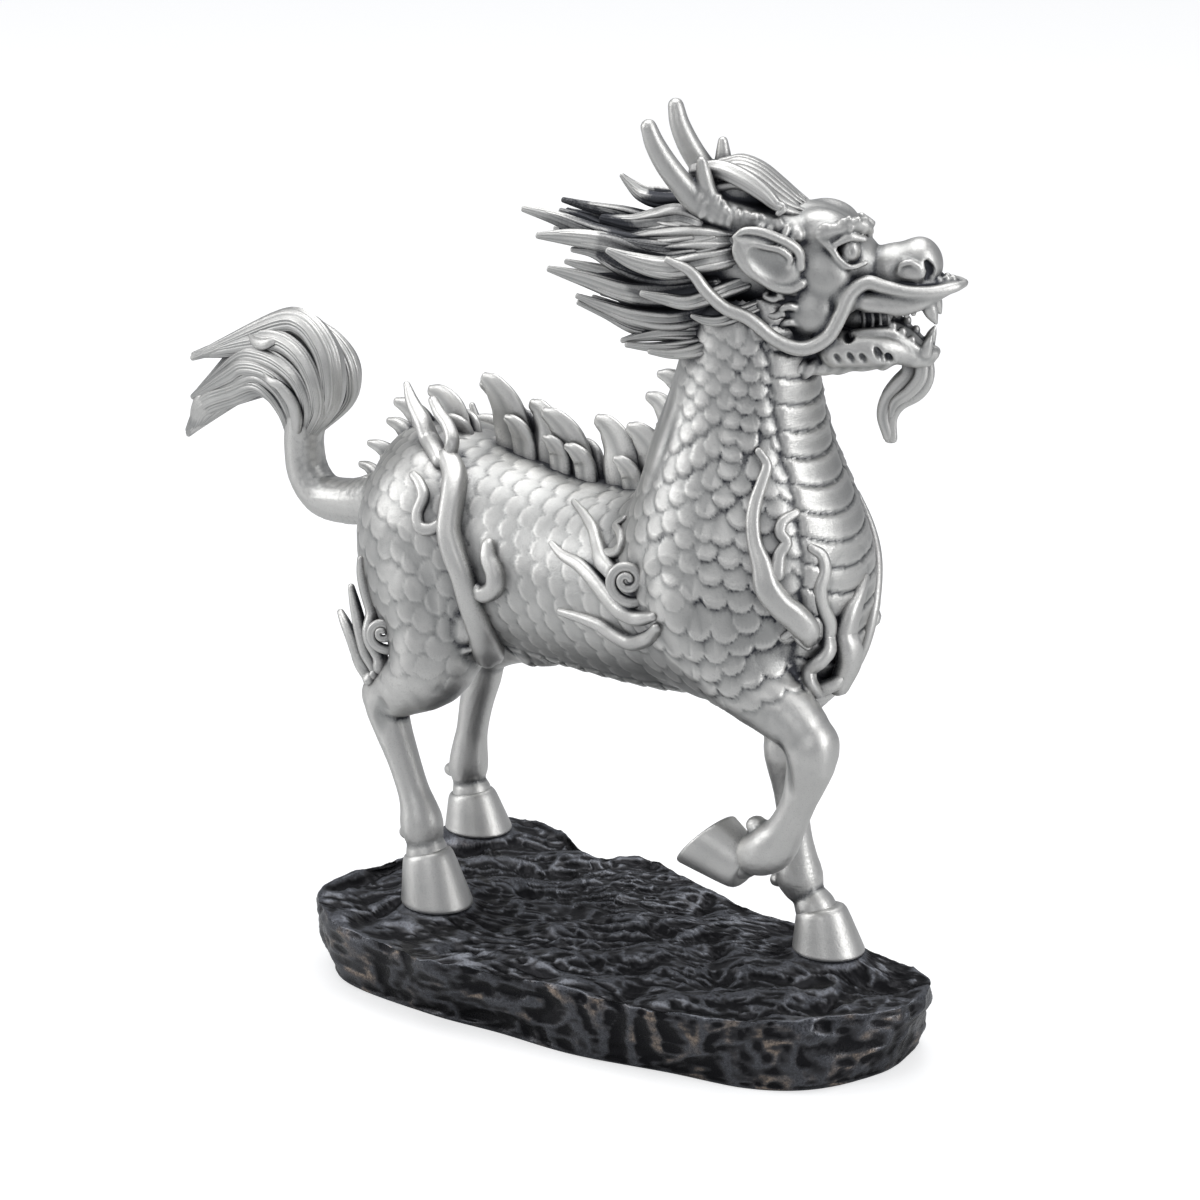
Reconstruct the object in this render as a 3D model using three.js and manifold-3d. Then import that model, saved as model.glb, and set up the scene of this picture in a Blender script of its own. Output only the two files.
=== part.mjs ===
// A qilin of cast pewter, striding on a dark rock. Millimetres; +X is the way the animal walks, +Y its left and
// +Z up. The origin is on the floor, under the middle of the four feet. Numbers for the animal count from the
// plane of its hooves, which is ROCK_HEIGHT above the floor.
import * as THREE from "three";
import { mergeVertices } from "three/addons/utils/BufferGeometryUtils.js";
import Module from "manifold-3d";

const wasm = await Module();
wasm.setup();
const { Manifold, Mesh } = wasm;

const ROCK_HEIGHT = 16; // floor to the flat pads the hooves stand on
const HOOF_GAP = 0.3; // the two castings are kept this far apart
const ROCK_DIPS = 3; // the rock's top lies up to this much below the pads

const HOOF_HEIGHT = 9;
const HOOF_TOP = 4.8; // radii of its collar and of its sole
const HOOF_SOLE = 7.2;
const HOOF_LENGTHEN = 1.08; // a hoof is this much longer than wide
const COLLAR_TILT = 0.04; // rise of the collar in heights per millimetre forward
const STANDING_SLOPE = 2; // how far a collar lies behind the middle of its sole, in a standing hoof
const RAISED_SLOPE = 3.6; // and in the raised one
const STANDING_HOOVES = [[-32.2, -19.3], [-53.2, 17], [42.3, 12]]; // right hind, left hind, left front
const RAISED_HOOF = [31.4, -13, 28]; // middle of the right front hoof's sole
const RAISED_TOE = [-0.66, 0, -0.75]; // where that hoof's toe points
const PAD_RADIUS = 10.5; // the rock is flat this far round each standing hoof

const HEAD_PLACE = [29.6, 0, 126]; // the top of the neck
const HEAD_TURN = 30; // degrees to the animal's left
const HEAD_LIFT = 2.7; // degrees the nose is raised
const HEAD_SIZE = 0.945; // the head's own numbers are drawn this much too large

const BLUNT = 0.2; // no section of a sweep is thinner than this, so its end never folds up
const WELD = 1e-4; // corners nearer than this are one

const pewter = new THREE.MeshStandardMaterial({
  name: "pewter",
  color: 0x9b9b97,
  metalness: 1,
  roughness: 0.4,
});
const darkRock = new THREE.MeshStandardMaterial({
  name: "rock",
  color: 0x1c1b1d,
  metalness: 0.6,
  roughness: 0.4,
});

function solidOf(geometry) {
  const bare = new THREE.BufferGeometry();
  bare.setAttribute("position", geometry.getAttribute("position"));
  bare.setIndex(geometry.getIndex());
  const merged = mergeVertices(bare, WELD);
  return new Manifold(
    new Mesh({
      numProp: 3,
      vertProperties: new Float32Array(merged.getAttribute("position").array),
      triVerts: new Uint32Array(merged.getIndex().array),
    }),
  );
}

function geometryOf(solid) {
  const mesh = solid.getMesh();
  const geometry = new THREE.BufferGeometry();
  const places = new Float32Array(mesh.vertProperties);
  geometry.setAttribute("position", new THREE.BufferAttribute(places, 3));
  geometry.setIndex(new THREE.BufferAttribute(new Uint32Array(mesh.triVerts), 1));
  return geometry;
}

function smoothCurve(points, closed = false) {
  return new THREE.CatmullRomCurve3(points, closed, "catmullrom", 0.5);
}

// The triangles between `levels` rings of `around` points each, which lie one after another in a list of points
// whose last two are the middles of the first and the last ring.
function skin(points, around, levels) {
  const faces = [];
  const [firstMiddle, lastMiddle] = [points.length - 2, points.length - 1];
  const lastRing = (levels - 1) * around;
  for (let j = 0; j < around; j++) {
    const next = (j + 1) % around;
    faces.push(firstMiddle, next, j);
    faces.push(lastMiddle, lastRing + j, lastRing + next);
    for (let i = 0; i < levels - 1; i++) {
      const [low, high] = [i * around, (i + 1) * around];
      faces.push(low + j, low + next, high + next, low + j, high + next, high + j);
    }
  }
  const geometry = new THREE.BufferGeometry().setFromPoints(points);
  geometry.setIndex(faces);
  return solidOf(geometry);
}

// A closed tube through stations [x, y, z, half width, half thickness]. The half width lies along `wide`, and a
// blunt point reaches `cap` half thicknesses beyond each end.
function sweep(stations, { sides = 8, rings = stations.length, wide = [0, 1, 0], cap = 0.6 } = {}) {
  const places = smoothCurve(stations.map(([x, y, z]) => new THREE.Vector3(x, y, z)));
  const sizes = smoothCurve(
    stations.map(([, , , width, thickness = width]) => new THREE.Vector3(width, thickness, 0)),
  );
  const points = [];
  const across = new THREE.Vector3(...wide);
  for (let i = 0; i <= rings; i++) {
    const place = places.getPoint(i / rings);
    const along = places.getTangent(i / rings);
    const size = sizes.getPoint(i / rings);
    across.addScaledVector(along, -across.dot(along)).normalize();
    const third = along.clone().cross(across);
    for (let j = 0; j < sides; j++) {
      const angle = (2 * Math.PI * j) / sides;
      const point = place.clone();
      point.addScaledVector(across, Math.cos(angle) * Math.max(size.x, BLUNT));
      point.addScaledVector(third, Math.sin(angle) * Math.max(size.y, BLUNT));
      points.push(point);
    }
  }
  for (const [end, sign] of [[0, -1], [1, 1]]) {
    const reach = sign * cap * Math.max(sizes.getPoint(end).y, BLUNT);
    points.push(places.getPoint(end).addScaledVector(places.getTangent(end), reach));
  }
  return skin(points, sides, rings + 1);
}

// A ball stretched to three half sizes; `pitch` lifts its front end, in degrees.
function ball(centre, [forward, side, up], pitch = 0, across = 10) {
  const geometry = new THREE.SphereGeometry(1, across, Math.round(across * 0.6));
  geometry.scale(forward, side, up);
  geometry.rotateY(-THREE.MathUtils.degToRad(pitch));
  geometry.translate(...centre);
  return solidOf(geometry);
}

function mirrored(stations) {
  return stations.map(([x, y, ...rest]) => [x, -y, ...rest]);
}

// Sets a solid down at `place`, with its own x axis turned to `forward` and its y axis left level.
function placed(solid, place, forward) {
  const x = new THREE.Vector3(...forward).normalize();
  const y = new THREE.Vector3(0, 1, 0);
  const turn = new THREE.Matrix4().makeBasis(x, y, x.clone().cross(y));
  return solid.transform(turn.setPosition(...place).elements);
}

const BARREL = [
  [-57, 0, 74, 10, 11], [-50, 0, 73, 15, 16.5], [-42, 0, 72.5, 17.5, 18.6], [-28, 0, 71.8, 19.4, 20.2],
  [-8, 0, 70.4, 18.6, 19.2], [14, 0, 71.5, 19.2, 19.8], [31, 0, 75.8, 20, 20.4], [43, 0, 77, 15, 18],
];
const NECK_FOOT = 80; // height at which the neck starts, inside the shoulders
// [x, share of the way from the neck's foot up to the head, half width, half thickness]
const NECK = [
  [28, 0, 18, 20], [29, 0.217, 18, 20], [29.8, 0.413, 16.5, 18.3], [30.4, 0.587, 14.6, 15.8],
  [31, 0.783, 12.8, 14], [31, 1.022, 11.5, 11.8],
];
// Swellings of the body: the place of the middle, the half sizes forward, sideways and up, and the pitch.
const RUMP = [[-46, 0, 80], [15, 10, 13], 0];
const WITHERS = [[35, 0, 83], [20.5, 19, 21], -25];
const BREAST = [[46, 0, 66], [9.5, 11, 16], -15];
const RIGHT_THIGH = [[-40, -10.5, 68], [16, 12.5, 23.5], 0];
const LEFT_THIGH = [[-44, 10.5, 68], [16, 12.5, 23.5], 0];
const RIGHT_SHOULDER = [[30, -11, 76], [15, 10.5, 20], 20];
const LEFT_SHOULDER = [[30, 11, 76], [15, 10.5, 20], 20];

function neck() {
  const rise = HEAD_PLACE[2] - NECK_FOOT;
  const stations = NECK.map(([x, share, ...sizes]) => [x, 0, NECK_FOOT + share * rise, ...sizes]);
  return sweep(stations, { sides: 12, rings: 7 });
}

function trunk() {
  const barrel = sweep(BARREL, { sides: 14, rings: 10 });
  return [barrel, neck(), ball(...RUMP), ball(...WITHERS, 12), ball(...BREAST)];
}

function haunchesAndShoulders() {
  return [RIGHT_THIGH, LEFT_THIGH, RIGHT_SHOULDER, LEFT_SHOULDER].map((swelling) => ball(...swelling));
}

const RIGHT_HIND_LEG = [
  [-38, -12, 64, 11, 12.5], [-36, -15.5, 55, 9.4, 11.5], [-36, -17.5, 49, 7.6, 9.4],
  [-41.5, -18.6, 43.5, 5, 6], [-46.2, -19.1, 39.5, 3.9, 4.8], [-44.5, -19.3, 35.5, 3.3, 4.1],
  [-41.8, -19.3, 29.6, 2.8, 3.2], [-38.7, -19.3, 23.2, 2.7, 3.1], [-36.3, -19.3, 16.2, 3.4, 4],
  [-35.8, -19.3, 13.9, 3.5, 4], [-34.9, -19.3, 10.5, 3.3, 3.5], [-34.3, -19.3, 7.5, 3.6, 3.8],
];
const LEFT_HIND_LEG = [
  [-42, 12, 64, 11, 12.5], [-40.5, 15, 55, 9.4, 11.5], [-40.5, 16.5, 49, 7.6, 9.4],
  [-45.5, 17, 43.5, 5, 6], [-49.8, 17, 39.5, 3.9, 4.8], [-51, 17, 34.5, 3.3, 4.1],
  [-53.2, 17, 28, 2.8, 3.2], [-55.2, 17, 20.5, 2.8, 3.1], [-56.2, 17, 15, 3.5, 4.1],
  [-56, 17, 12.5, 3.5, 3.9], [-55.3, 17, 9.5, 3.3, 3.5], [-54.8, 17, 7.3, 3.6, 3.8],
];
const LEFT_FRONT_LEG = [
  [30, 12, 72, 9, 11], [29.5, 13, 62, 7, 8.6], [30.5, 12.6, 52, 5, 6.2], [31.8, 12, 43, 4.3, 5],
  [32.2, 12, 38.5, 4.3, 5], [33.2, 12, 32, 3, 3.5], [36, 12, 24, 2.7, 3], [38, 12, 17.7, 3, 3.4],
  [38.6, 12, 13.2, 3.3, 3.8], [38.6, 12, 9, 3.2, 3.4], [39.4, 12, 6.8, 3.5, 3.7],
];
const RIGHT_FRONT_LEG = [
  [31, -13, 76, 10, 12], [36.5, -14, 69, 8.4, 9.6], [42.5, -13.8, 63, 7, 7.8], [49, -13.2, 59, 5.8, 6.4],
  [54.2, -13, 55.5, 4.9, 5.3], [56.7, -13, 51, 4.5, 4.9], [55.6, -13, 46, 3.6, 4.1],
  [53.6, -13, 40.3, 2.9, 3.3], [50.6, -13, 33.5, 2.8, 3.2], [48.4, -13, 28.9, 3.3, 3.9],
  [46, -13, 27.2, 3.3, 3.7], [42, -13, 26.1, 2.7, 2.9], [39.4, -13, 25, 3.1, 3.4],
];
const DEWCLAWS = [[-40, -19.3, 13.5], [-60.3, 17, 13], [34.3, 12, 13], [45, -13, 32]]; // behind each fetlock

// A hoof stands on its own origin, toe to +x. Its collar is higher over the toe than over the heel, and `slope`
// is how far the collar lies behind the middle of the sole.
function hoof(slope) {
  const geometry = new THREE.CylinderGeometry(HOOF_TOP, HOOF_SOLE, HOOF_HEIGHT, 12, 1);
  geometry.rotateX(Math.PI / 2);
  geometry.translate(0, 0, HOOF_HEIGHT / 2);
  const place = geometry.getAttribute("position");
  for (let i = 0; i < place.count; i++) {
    const [x, y, z] = [place.getX(i), place.getY(i), place.getZ(i)];
    const level = z / HOOF_HEIGHT;
    place.setXYZ(i, x * HOOF_LENGTHEN - slope * level, y, z * (1 + COLLAR_TILT * x));
  }
  return solidOf(geometry);
}

function legs() {
  const limbs = [RIGHT_HIND_LEG, LEFT_HIND_LEG, LEFT_FRONT_LEG, RIGHT_FRONT_LEG];
  return [
    ...limbs.map((limb) => sweep(limb, { sides: 7, rings: 11 })),
    ...STANDING_HOOVES.map(([x, y]) => placed(hoof(STANDING_SLOPE), [x, y, 0], [1, 0, 0])),
    placed(hoof(RAISED_SLOPE), RAISED_HOOF, RAISED_TOE),
    ...DEWCLAWS.map((place) => ball(place, [2.2, 1.7, 1.9], 0, 5)),
  ];
}

const TAIL = [
  [-55, 0, 76, 7], [-62, 0, 75, 5.2], [-68, 0, 72.8, 4.4], [-74, 0, 71.6, 4.1], [-80, 0, 71.8, 3.9],
  [-84.2, 0, 75.8, 3.9], [-85.2, 0, 82, 3.9], [-84.5, 0, 88, 5], [-83, 0, 94, 7],
];
// The tuft's two rolls, given as the swellings of the body are. Its locks rise from the stalk, roll over and end
// in points: [sideways, height of the roll's middle, tip x, tip z].
const TUFT_ROLL = [[-87, 0, 99.5], [11.5, 7.5, 10.5], -20];
const TUFT_FAR_ROLL = [[-81, 4.5, 97.5], [7.5, 6, 8.5], 0];
const TUFT_LOCKS = [[-4, 99, -111.5, 97], [-1, 100, -115, 86.5], [2.5, 98, -122, 76.5], [5, 99, -116, 90]];

function tuftLock([side, rollZ, tipX, tipZ]) {
  const stations = [
    [-85, side * 0.4, 90, 4, 4],
    [-88, side, rollZ, 6, 6],
    [-98, side * 1.2, rollZ, 5.6, 5],
    [(tipX - 98) / 2, side * 1.4, (tipZ + rollZ) / 2 + 2, 3.6, 2.8],
    [tipX, side * 1.5, tipZ, 0.5, 0.4],
  ];
  return sweep(stations, { sides: 5, rings: 5, cap: 1 });
}

function tail() {
  const stalk = sweep(TAIL, { sides: 8, rings: 11 });
  return [stalk, ball(...TUFT_ROLL), ball(...TUFT_FAR_ROLL), ...TUFT_LOCKS.map(tuftLock)];
}

// Fins along the back and up the neck, all swept backwards: [foot x, z, tip x, z, half length at the foot].
const CREST = [
  [-65.5, 77.5, -70.5, 80.3, 2], [-60.5, 82.5, -66.3, 86, 2.4], [-56, 87, -62.5, 91, 2.8],
  [-51.5, 90, -58.8, 96.2, 3.4], [-43.5, 92.5, -51.3, 99.7, 4.2], [-28, 93, -35.5, 105.6, 4.8],
  [-18.5, 92, -24.5, 101.8, 4.4], [-12, 91.3, -19.8, 101.3, 4.4], [0, 90.5, -7.8, 101.8, 4.8],
  [8.5, 94, 1.8, 102.3, 4.4], [12, 102, 5.2, 108.7, 3.6], [15, 110.5, 9.6, 114.2, 3],
];
const FIN_THICKNESS = 1.3; // half of it
const FIN_ROOT = 4; // a fin starts this far inside the back

function fin([footX, footZ, tipX, tipZ, half]) {
  const [lean, rise] = [tipX - footX, tipZ - footZ];
  const stations = [
    [footX + 1, 0, footZ - FIN_ROOT, half, FIN_THICKNESS * 1.3],
    [footX + lean * 0.15, 0, footZ + rise * 0.25, half, FIN_THICKNESS],
    [footX + lean * 0.5, 0, footZ + rise * 0.65, half * 0.6, FIN_THICKNESS * 0.7],
    [tipX, 0, tipZ, 0.4, 0.4],
  ];
  return sweep(stations, { sides: 4, rings: 3, wide: [1, 0, 0], cap: 0.5 });
}

function crest() {
  return CREST.map(fin);
}

// Flames that lick over the haunches, hocks and shoulders, the same on both sides of the body.
const FLAMES_ON_BOTH_SIDES = [
  [[-54, -3, 101, 0.6], [-50, -5, 95.5, 1.7], [-41.6, -8.7, 92.5, 2.2], [-36, -12.5, 91.5, 2.3],
    [-31, -16, 87.5, 2.5], [-28, -19.3, 81, 2.6], [-27.5, -21, 75, 2.6], [-24, -21, 69, 2.9],
    [-22, -20, 61, 3], [-22.5, -17, 54.5, 2.9]],
  [[-27, -20, 67, 2], [-21.5, -20.5, 64.5, 2.2], [-17.5, -20, 69.5, 2.1], [-20.5, -20, 74.5, 1.4]],
  [[-52, -18, 71, 0.6], [-51.5, -19.5, 62, 2], [-47, -22, 54, 2.6], [-42, -23, 49, 2.8]],
  [[-7, -10, 91, 0.6], [0, -14, 86.5, 1.9], [5, -17, 83.5, 2], [10, -19, 80.5, 2.4], [15, -20.5, 76, 2.6]],
  [[-8, -17, 80.5, 0.6], [0.5, -19, 78, 2.1], [9, -20.5, 75.5, 2.4], [17, -22, 71.5, 2.6], [22, -22, 71, 2]],
];
const FLAMES_ON_RIGHT_SIDE = [
  [[-5, -18, 66, 0.6], [8, -20.5, 66.5, 2], [16, -21, 66, 2.2], [22, -22, 69, 1.8]],
  [[-28.5, -19.5, 81.5, 2], [-33, -21.5, 79.5, 1.9], [-36, -20.5, 83.5, 1.7], [-38, -18.5, 87.5, 1]],
  [[-57.5, -22, 58, 0.5], [-52.5, -22.5, 53.5, 1.7], [-47, -22.5, 49, 2.2], [-43, -21, 46, 2.2]],
  [[9, -15, 91, 0.6], [7.5, -16.5, 87.5, 1.5], [12.5, -19, 85.5, 1.8], [11.5, -19.5, 82, 2],
    [15, -20.5, 77, 2.2]],
  [[41, -13, 108, 0.6], [43, -13.5, 102.5, 1.9], [42, -15, 96, 2.5], [44, -15.5, 89, 2.7],
    [49, -15.5, 80.5, 2.9], [54, -12, 75.5, 2.8], [55, -10, 69.5, 2.4]],
  [[45, -15.5, 88, 2.2], [50.5, -15, 89, 1.9], [51, -12.5, 93.5, 1.6], [53, -9, 96.5, 0.7]],
  [[54, -9.5, 92, 0.6], [57, -8.5, 86, 1.7], [56.5, -9, 79.5, 2.3], [58, -7.5, 72.5, 2.6],
    [55.5, -8, 65, 2.6], [53, -8, 59, 1.6]],
];
const FLAMES_ON_LEFT_CHEST = [
  [[43, 14.5, 92, 0.6], [46.5, 14, 86, 1.9], [50.5, 11.5, 79.5, 2.4], [53, 8.5, 73, 2.5],
    [53, 6.5, 67, 2.2], [51, 5.5, 61, 1.6]],
  [[55, 6, 83, 0.6], [56.5, 2.5, 77.5, 1.8], [56, 0.5, 71.5, 2.2], [54.5, 0.5, 65, 2]],
];

function flames() {
  const all = [
    ...FLAMES_ON_BOTH_SIDES,
    ...FLAMES_ON_BOTH_SIDES.map(mirrored),
    ...FLAMES_ON_RIGHT_SIDE,
    ...FLAMES_ON_LEFT_CHEST,
  ];
  return all.map((line) => sweep(line, { sides: 5, rings: line.length - 1, cap: 0.8 }));
}

// The head, in its own axes: x to the nose, y to its left, z up.
const UPPER_HEAD = [
  [-5, 0, 17, 8, 9], [2, 0, 16, 11.3, 12], [10, 0, 14.5, 11.3, 11.8], [17, 0, 14, 9.4, 10],
  [23, 0, 12.5, 7.4, 7], [28, 0, 11.4, 6.2, 5], [34, 0, 12.5, 6, 5.6], [37, 0, 12, 4.6, 4],
];
const UPPER_LIP = [
  [18, 0, 6, 7.6, 3.4], [28, 0, 7, 6.8, 3.2], [36, 0, 7, 5.8, 2.8], [41, 0, 7.4, 4.2, 1.6],
  [44.5, 0, 8.4, 2.2, 0.7],
];
const LOWER_JAW = [
  [5, 0, -3, 9, 5.4], [14, 0, -4, 8.4, 4.8], [22, 0, -5, 6.8, 3.8], [29, 0, -5.4, 5.6, 3.1],
  [33.5, 0, -6, 4.8, 2.9], [36, 0, -6.6, 3.2, 2],
];
const BEARD = [
  [34, 0, -7, 3, 2.4], [35.8, 0, -11, 2.8, 2.2], [34, 0, -15.5, 2.4, 1.9], [31, 0, -19.5, 1.8, 1.4],
  [29.1, 0, -24, 0.4, 0.4],
];
const HORN = [
  [11, -6.5, 21, 3.6], [4.5, -7, 23.5, 3.5], [-1.5, -7.6, 26, 3.2], [-6, -8.2, 29.5, 2.6],
  [-10.5, -8.8, 34.5, 2.3], [-14.8, -9.4, 40, 2], [-17.8, -9.8, 44.4, 1.2],
];
const HORN_PRONG = [
  [-3, -7.6, 26, 2.3], [-5.6, -7.8, 29.5, 2.2], [-6.9, -7.9, 33.5, 1.8], [-7.3, -8, 37.4, 0.9],
];
const LEFT_HORN_AHEAD = 2.8; // the left horn's tip stands this much further forward
const EAR = [
  [13, -9.5, 12, 2.4, 1.8], [8.5, -12, 14.5, 4.6, 1.9], [4, -13.3, 18, 3.8, 1.6], [-0.5, -13.8, 22.3, 0.5, 0.4],
];
const BARBEL = [
  [33, -5.5, 9.5, 1.5], [25.5, -7.5, 9.7, 1.6], [21.4, -9.5, 3, 1.6], [16.5, -10.8, -0.8, 1.5],
  [11, -12, -0.6, 1.5], [5, -13, 5, 1.4], [-2, -13.6, 8.6, 1.3], [-6, -14, 14.4, 1.2], [-12.6, -13.6, 17, 0.6],
];
const BROW = [
  [10, -6, 18.5, 2.5, 2.5], [17, -6.2, 20.8, 3.2, 2.7], [22.5, -5.6, 19.8, 2.3, 1.8],
  [25, -5.2, 18.6, 0.8, 0.7],
];
const CHEEKS = [[11, 0, 5], [9, 10.5, 10], 0];
const NAPE = [[-8, 0, 15], [13, 9.5, 13.5], 0];
const EYES = [[22.2, -6.6, 17.4], [22.2, 6.6, 17.4]];
const EYE_SIZE = [2.4, 2.4, 2.4];
const TOP_HAIR = [
  [-5, 0, 28.5, 6.5, 5], [0, 0, 30.3, 7.5, 5.1], [5, 0, 29.3, 7.5, 4.7], [9.5, 0, 26.5, 6, 4],
  [12, 0, 24, 4, 2.4],
];

// The long teeth: [x, y, z of the root, length, half thickness]; a negative length points down.
const FANGS = [[37.3, 4.2, 5.5, -5, 1.3], [35, 3.8, -4.4, 4.6, 1.2]];

// Locks of the mane's right half, which bend to one side and back: [root x, y, z, tip x, y, z, sway, half
// width].
const MANE = [
  [-2, -3, 28, -23.6, -4, 31.4, 2, 3], [-10, -3, 22, -43, -5, 24.2, 2.4, 4],
  [-12, -6, 17, -40, -9, 20, -2.5, 4], [-12, -7, 12, -38.8, -11, 14.4, 2.5, 4],
  [-10, -8, 9, -33, -11, 9.4, 2.2, 3.8], [-6, -9, 17, -26, -13.5, 19, -2.4, 3.4],
  [-6, -9, 8, -21, -13, 10.2, 2, 3.2],
  [-9, -7, 4, -25.5, -9, 0.4, -2, 3.2], [-5, -8, 1, -19.6, -9.5, -1.2, 2, 3],
  [1, -8, -2, -9, -12, -5.6, -2, 2.8],
];
const LOCK_PROFILE = [0.6, 1.05, 1, 0.7, 0.12]; // shares of a lock's half width, from root to tip
const LEFT_LOCKS_LOWER = 3; // the left half's tips hang this much lower

function fang([x, y, z, length, thickness]) {
  const inGum = [x, y, z - Math.sign(length) * 2, thickness];
  const middle = [x, y, z + length * 0.4, thickness * 0.7];
  return sweep([inGum, middle, [x, y, z + length, 0.25]], { sides: 4, rings: 2 });
}

function maneLock([x, y, z, tipX, tipY, tipZ, sway, half]) {
  const stations = LOCK_PROFILE.map((share, i) => {
    const t = i / (LOCK_PROFILE.length - 1);
    const bend = sway * Math.sin(2 * Math.PI * t);
    const place = [x + (tipX - x) * t, y + (tipY - y) * t + bend * 0.4, z + (tipZ - z) * t + bend];
    return [...place, half * share * 0.75, half * share];
  });
  return sweep(stations, { sides: 4, rings: 4, cap: 1 });
}

function leftLock([x, y, z, tipX, tipY, tipZ, sway, half]) {
  return maneLock([x, -y, z, tipX, -tipY, tipZ - LEFT_LOCKS_LOWER, -sway, half]);
}

function leanAhead([x, y, z, radius]) {
  const [foot, tip] = [HORN[0][2], HORN.at(-1)[2]];
  return [x + (LEFT_HORN_AHEAD * (z - foot)) / (tip - foot), y, z, radius];
}

function bothSides(shape, build) {
  return [build(shape), build(mirrored(shape))];
}

function head() {
  const tube = (sides) => (line) => sweep(line, { sides, cap: 0.8 });
  const pieces = [
    sweep(UPPER_HEAD, { sides: 10, rings: 8, cap: 0.8 }),
    ball(...CHEEKS),
    ball(...NAPE),
    sweep(UPPER_LIP, { sides: 8, rings: 5 }),
    sweep(LOWER_JAW, { sides: 8, rings: 6, cap: 0.8 }),
    sweep(BEARD, { sides: 6, rings: 6 }),
    sweep(TOP_HAIR, { sides: 8, rings: 4, cap: 0.8 }),
    ...[HORN, HORN_PRONG].flatMap((line) => [line, mirrored(line).map(leanAhead)]).map(tube(5)),
    ...bothSides(BARBEL, tube(4)),
    ...bothSides(BROW, tube(5)),
    ...bothSides(EAR, (line) => sweep(line, { sides: 6, rings: 4, wide: [0.6, 0, 0.8] })),
    ...EYES.map((eye) => ball(eye, EYE_SIZE, 0, 6)),
    ...bothSides(FANGS, (fangs) => fangs.map(fang)).flat(),
    ...MANE.map(maneLock),
    ...MANE.map(leftLock),
  ];
  const [lift, turn] = [HEAD_LIFT, HEAD_TURN].map(THREE.MathUtils.degToRad);
  const place = new THREE.Matrix4().makeRotationFromEuler(new THREE.Euler(0, -lift, turn, "ZYX"));
  place.scale(new THREE.Vector3(HEAD_SIZE, HEAD_SIZE, HEAD_SIZE)).setPosition(...HEAD_PLACE);
  return Manifold.union(pieces).transform(place.elements);
}

// The union without the small sealed pockets left where curls and locks close round a bit of air.
function qilin() {
  const parts = [trunk(), haunchesAndShoulders(), legs(), tail(), crest(), flames(), [head()]];
  const bodies = Manifold.union(parts.flat()).decompose();
  return Manifold.union(bodies.filter((body) => body.volume() > 0));
}

// Outline of the rock's top edge and of its foot, as [x, y] all the way round.
const ROCK_RIM = [
  [70, 11], [65, 17], [49, 20], [18.5, 21], [-3, 26], [-19, 29], [-28, 23], [-41, 29], [-54, 30], [-63, 18],
  [-60, 6], [-57.5, -5], [-60, -15], [-59, -28], [-48, -37], [-21, -42], [-6, -39], [14, -35], [33, -32],
  [51, -25], [62, -15], [71, 0],
];
const ROCK_FOOT = [
  [65, 8], [60, 18], [46, 22], [18.5, 22], [-3, 25], [-19, 27], [-28, 24], [-40, 27], [-50, 26], [-57, 16],
  [-56, 6], [-55, -4], [-57, -14], [-55, -25], [-44, -34.5], [-21, -35.5], [-4, -33.5], [14, -32], [34, -26.5],
  [50, -22.5], [60, -15], [65, -3],
];
const ROCK_AROUND = 36; // corners in each of its rings
// The side's rings: share of the way from rim to foot, share of the full size, share of the full height and
// roughness.
const ROCK_SIDE = [
  [1, 1, 0, 0], [1, 1.01, 0.125, 0.4], [0.62, 1.01, 0.344, 1], [0.3, 1, 0.5625, 0.9],
  [0.05, 0.985, 0.781, 0.7], [0, 0.97, 0.9125, 0.5],
];
const ROCK_TOP = [0.86, 0.68, 0.48, 0.24]; // the top's rings, as shares of the rim

function outline(points) {
  return smoothCurve(points.map(([x, y]) => new THREE.Vector3(x, y, 0)), true);
}

function crag(angle, level) {
  const ridges = Math.sin(7 * angle + 2.1 * level);
  const chips = 0.7 * Math.sin(13 * angle - 3.4 * level + 1) + 0.5 * Math.sin(23 * angle + level);
  return ridges + chips;
}

function rockTop(x, y) {
  const flat = ROCK_HEIGHT - HOOF_GAP;
  const nearest = Math.min(...STANDING_HOOVES.map(([padX, padY]) => Math.hypot(x - padX, y - padY)));
  const wave = Math.sin(0.21 * x + 0.9) * Math.cos(0.27 * y) + 0.6 * Math.sin(0.37 * x - 0.31 * y);
  const freedom = Math.min(Math.max((nearest - PAD_RADIUS) / PAD_RADIUS, 0), 1);
  return flat - freedom * ROCK_DIPS * (0.5 - 0.3 * wave);
}

function rock() {
  const rim = outline(ROCK_RIM);
  const foot = outline(ROCK_FOOT);
  const points = [];
  for (const [share, size, level, rough] of ROCK_SIDE) {
    const height = level * ROCK_HEIGHT;
    for (let j = 0; j < ROCK_AROUND; j++) {
      const t = j / ROCK_AROUND;
      const place = rim.getPoint(t).lerp(foot.getPoint(t), share).multiplyScalar(size);
      const push = 0.8 * rough * crag(2 * Math.PI * t, height);
      points.push(place.addScaledVector(place.clone().normalize(), push).setZ(height));
    }
  }
  for (const size of ROCK_TOP) {
    for (let j = 0; j < ROCK_AROUND; j++) {
      const place = rim.getPoint(j / ROCK_AROUND).multiplyScalar(size);
      points.push(place.setZ(rockTop(place.x, place.y)));
    }
  }
  points.push(new THREE.Vector3(0, 0, 0), new THREE.Vector3(0, 0, rockTop(0, 0)));
  return skin(points, ROCK_AROUND, ROCK_SIDE.length + ROCK_TOP.length);
}

function named(name, solid, material) {
  const mesh = new THREE.Mesh(geometryOf(solid), material);
  mesh.name = name;
  return mesh;
}

const figure = new THREE.Group();
figure.name = "qilin_on_rock";
const animal = named("qilin_figure", qilin(), pewter);
animal.position.z = ROCK_HEIGHT;
figure.add(animal, named("rock_base", rock(), darkRock));

export default figure;
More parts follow.
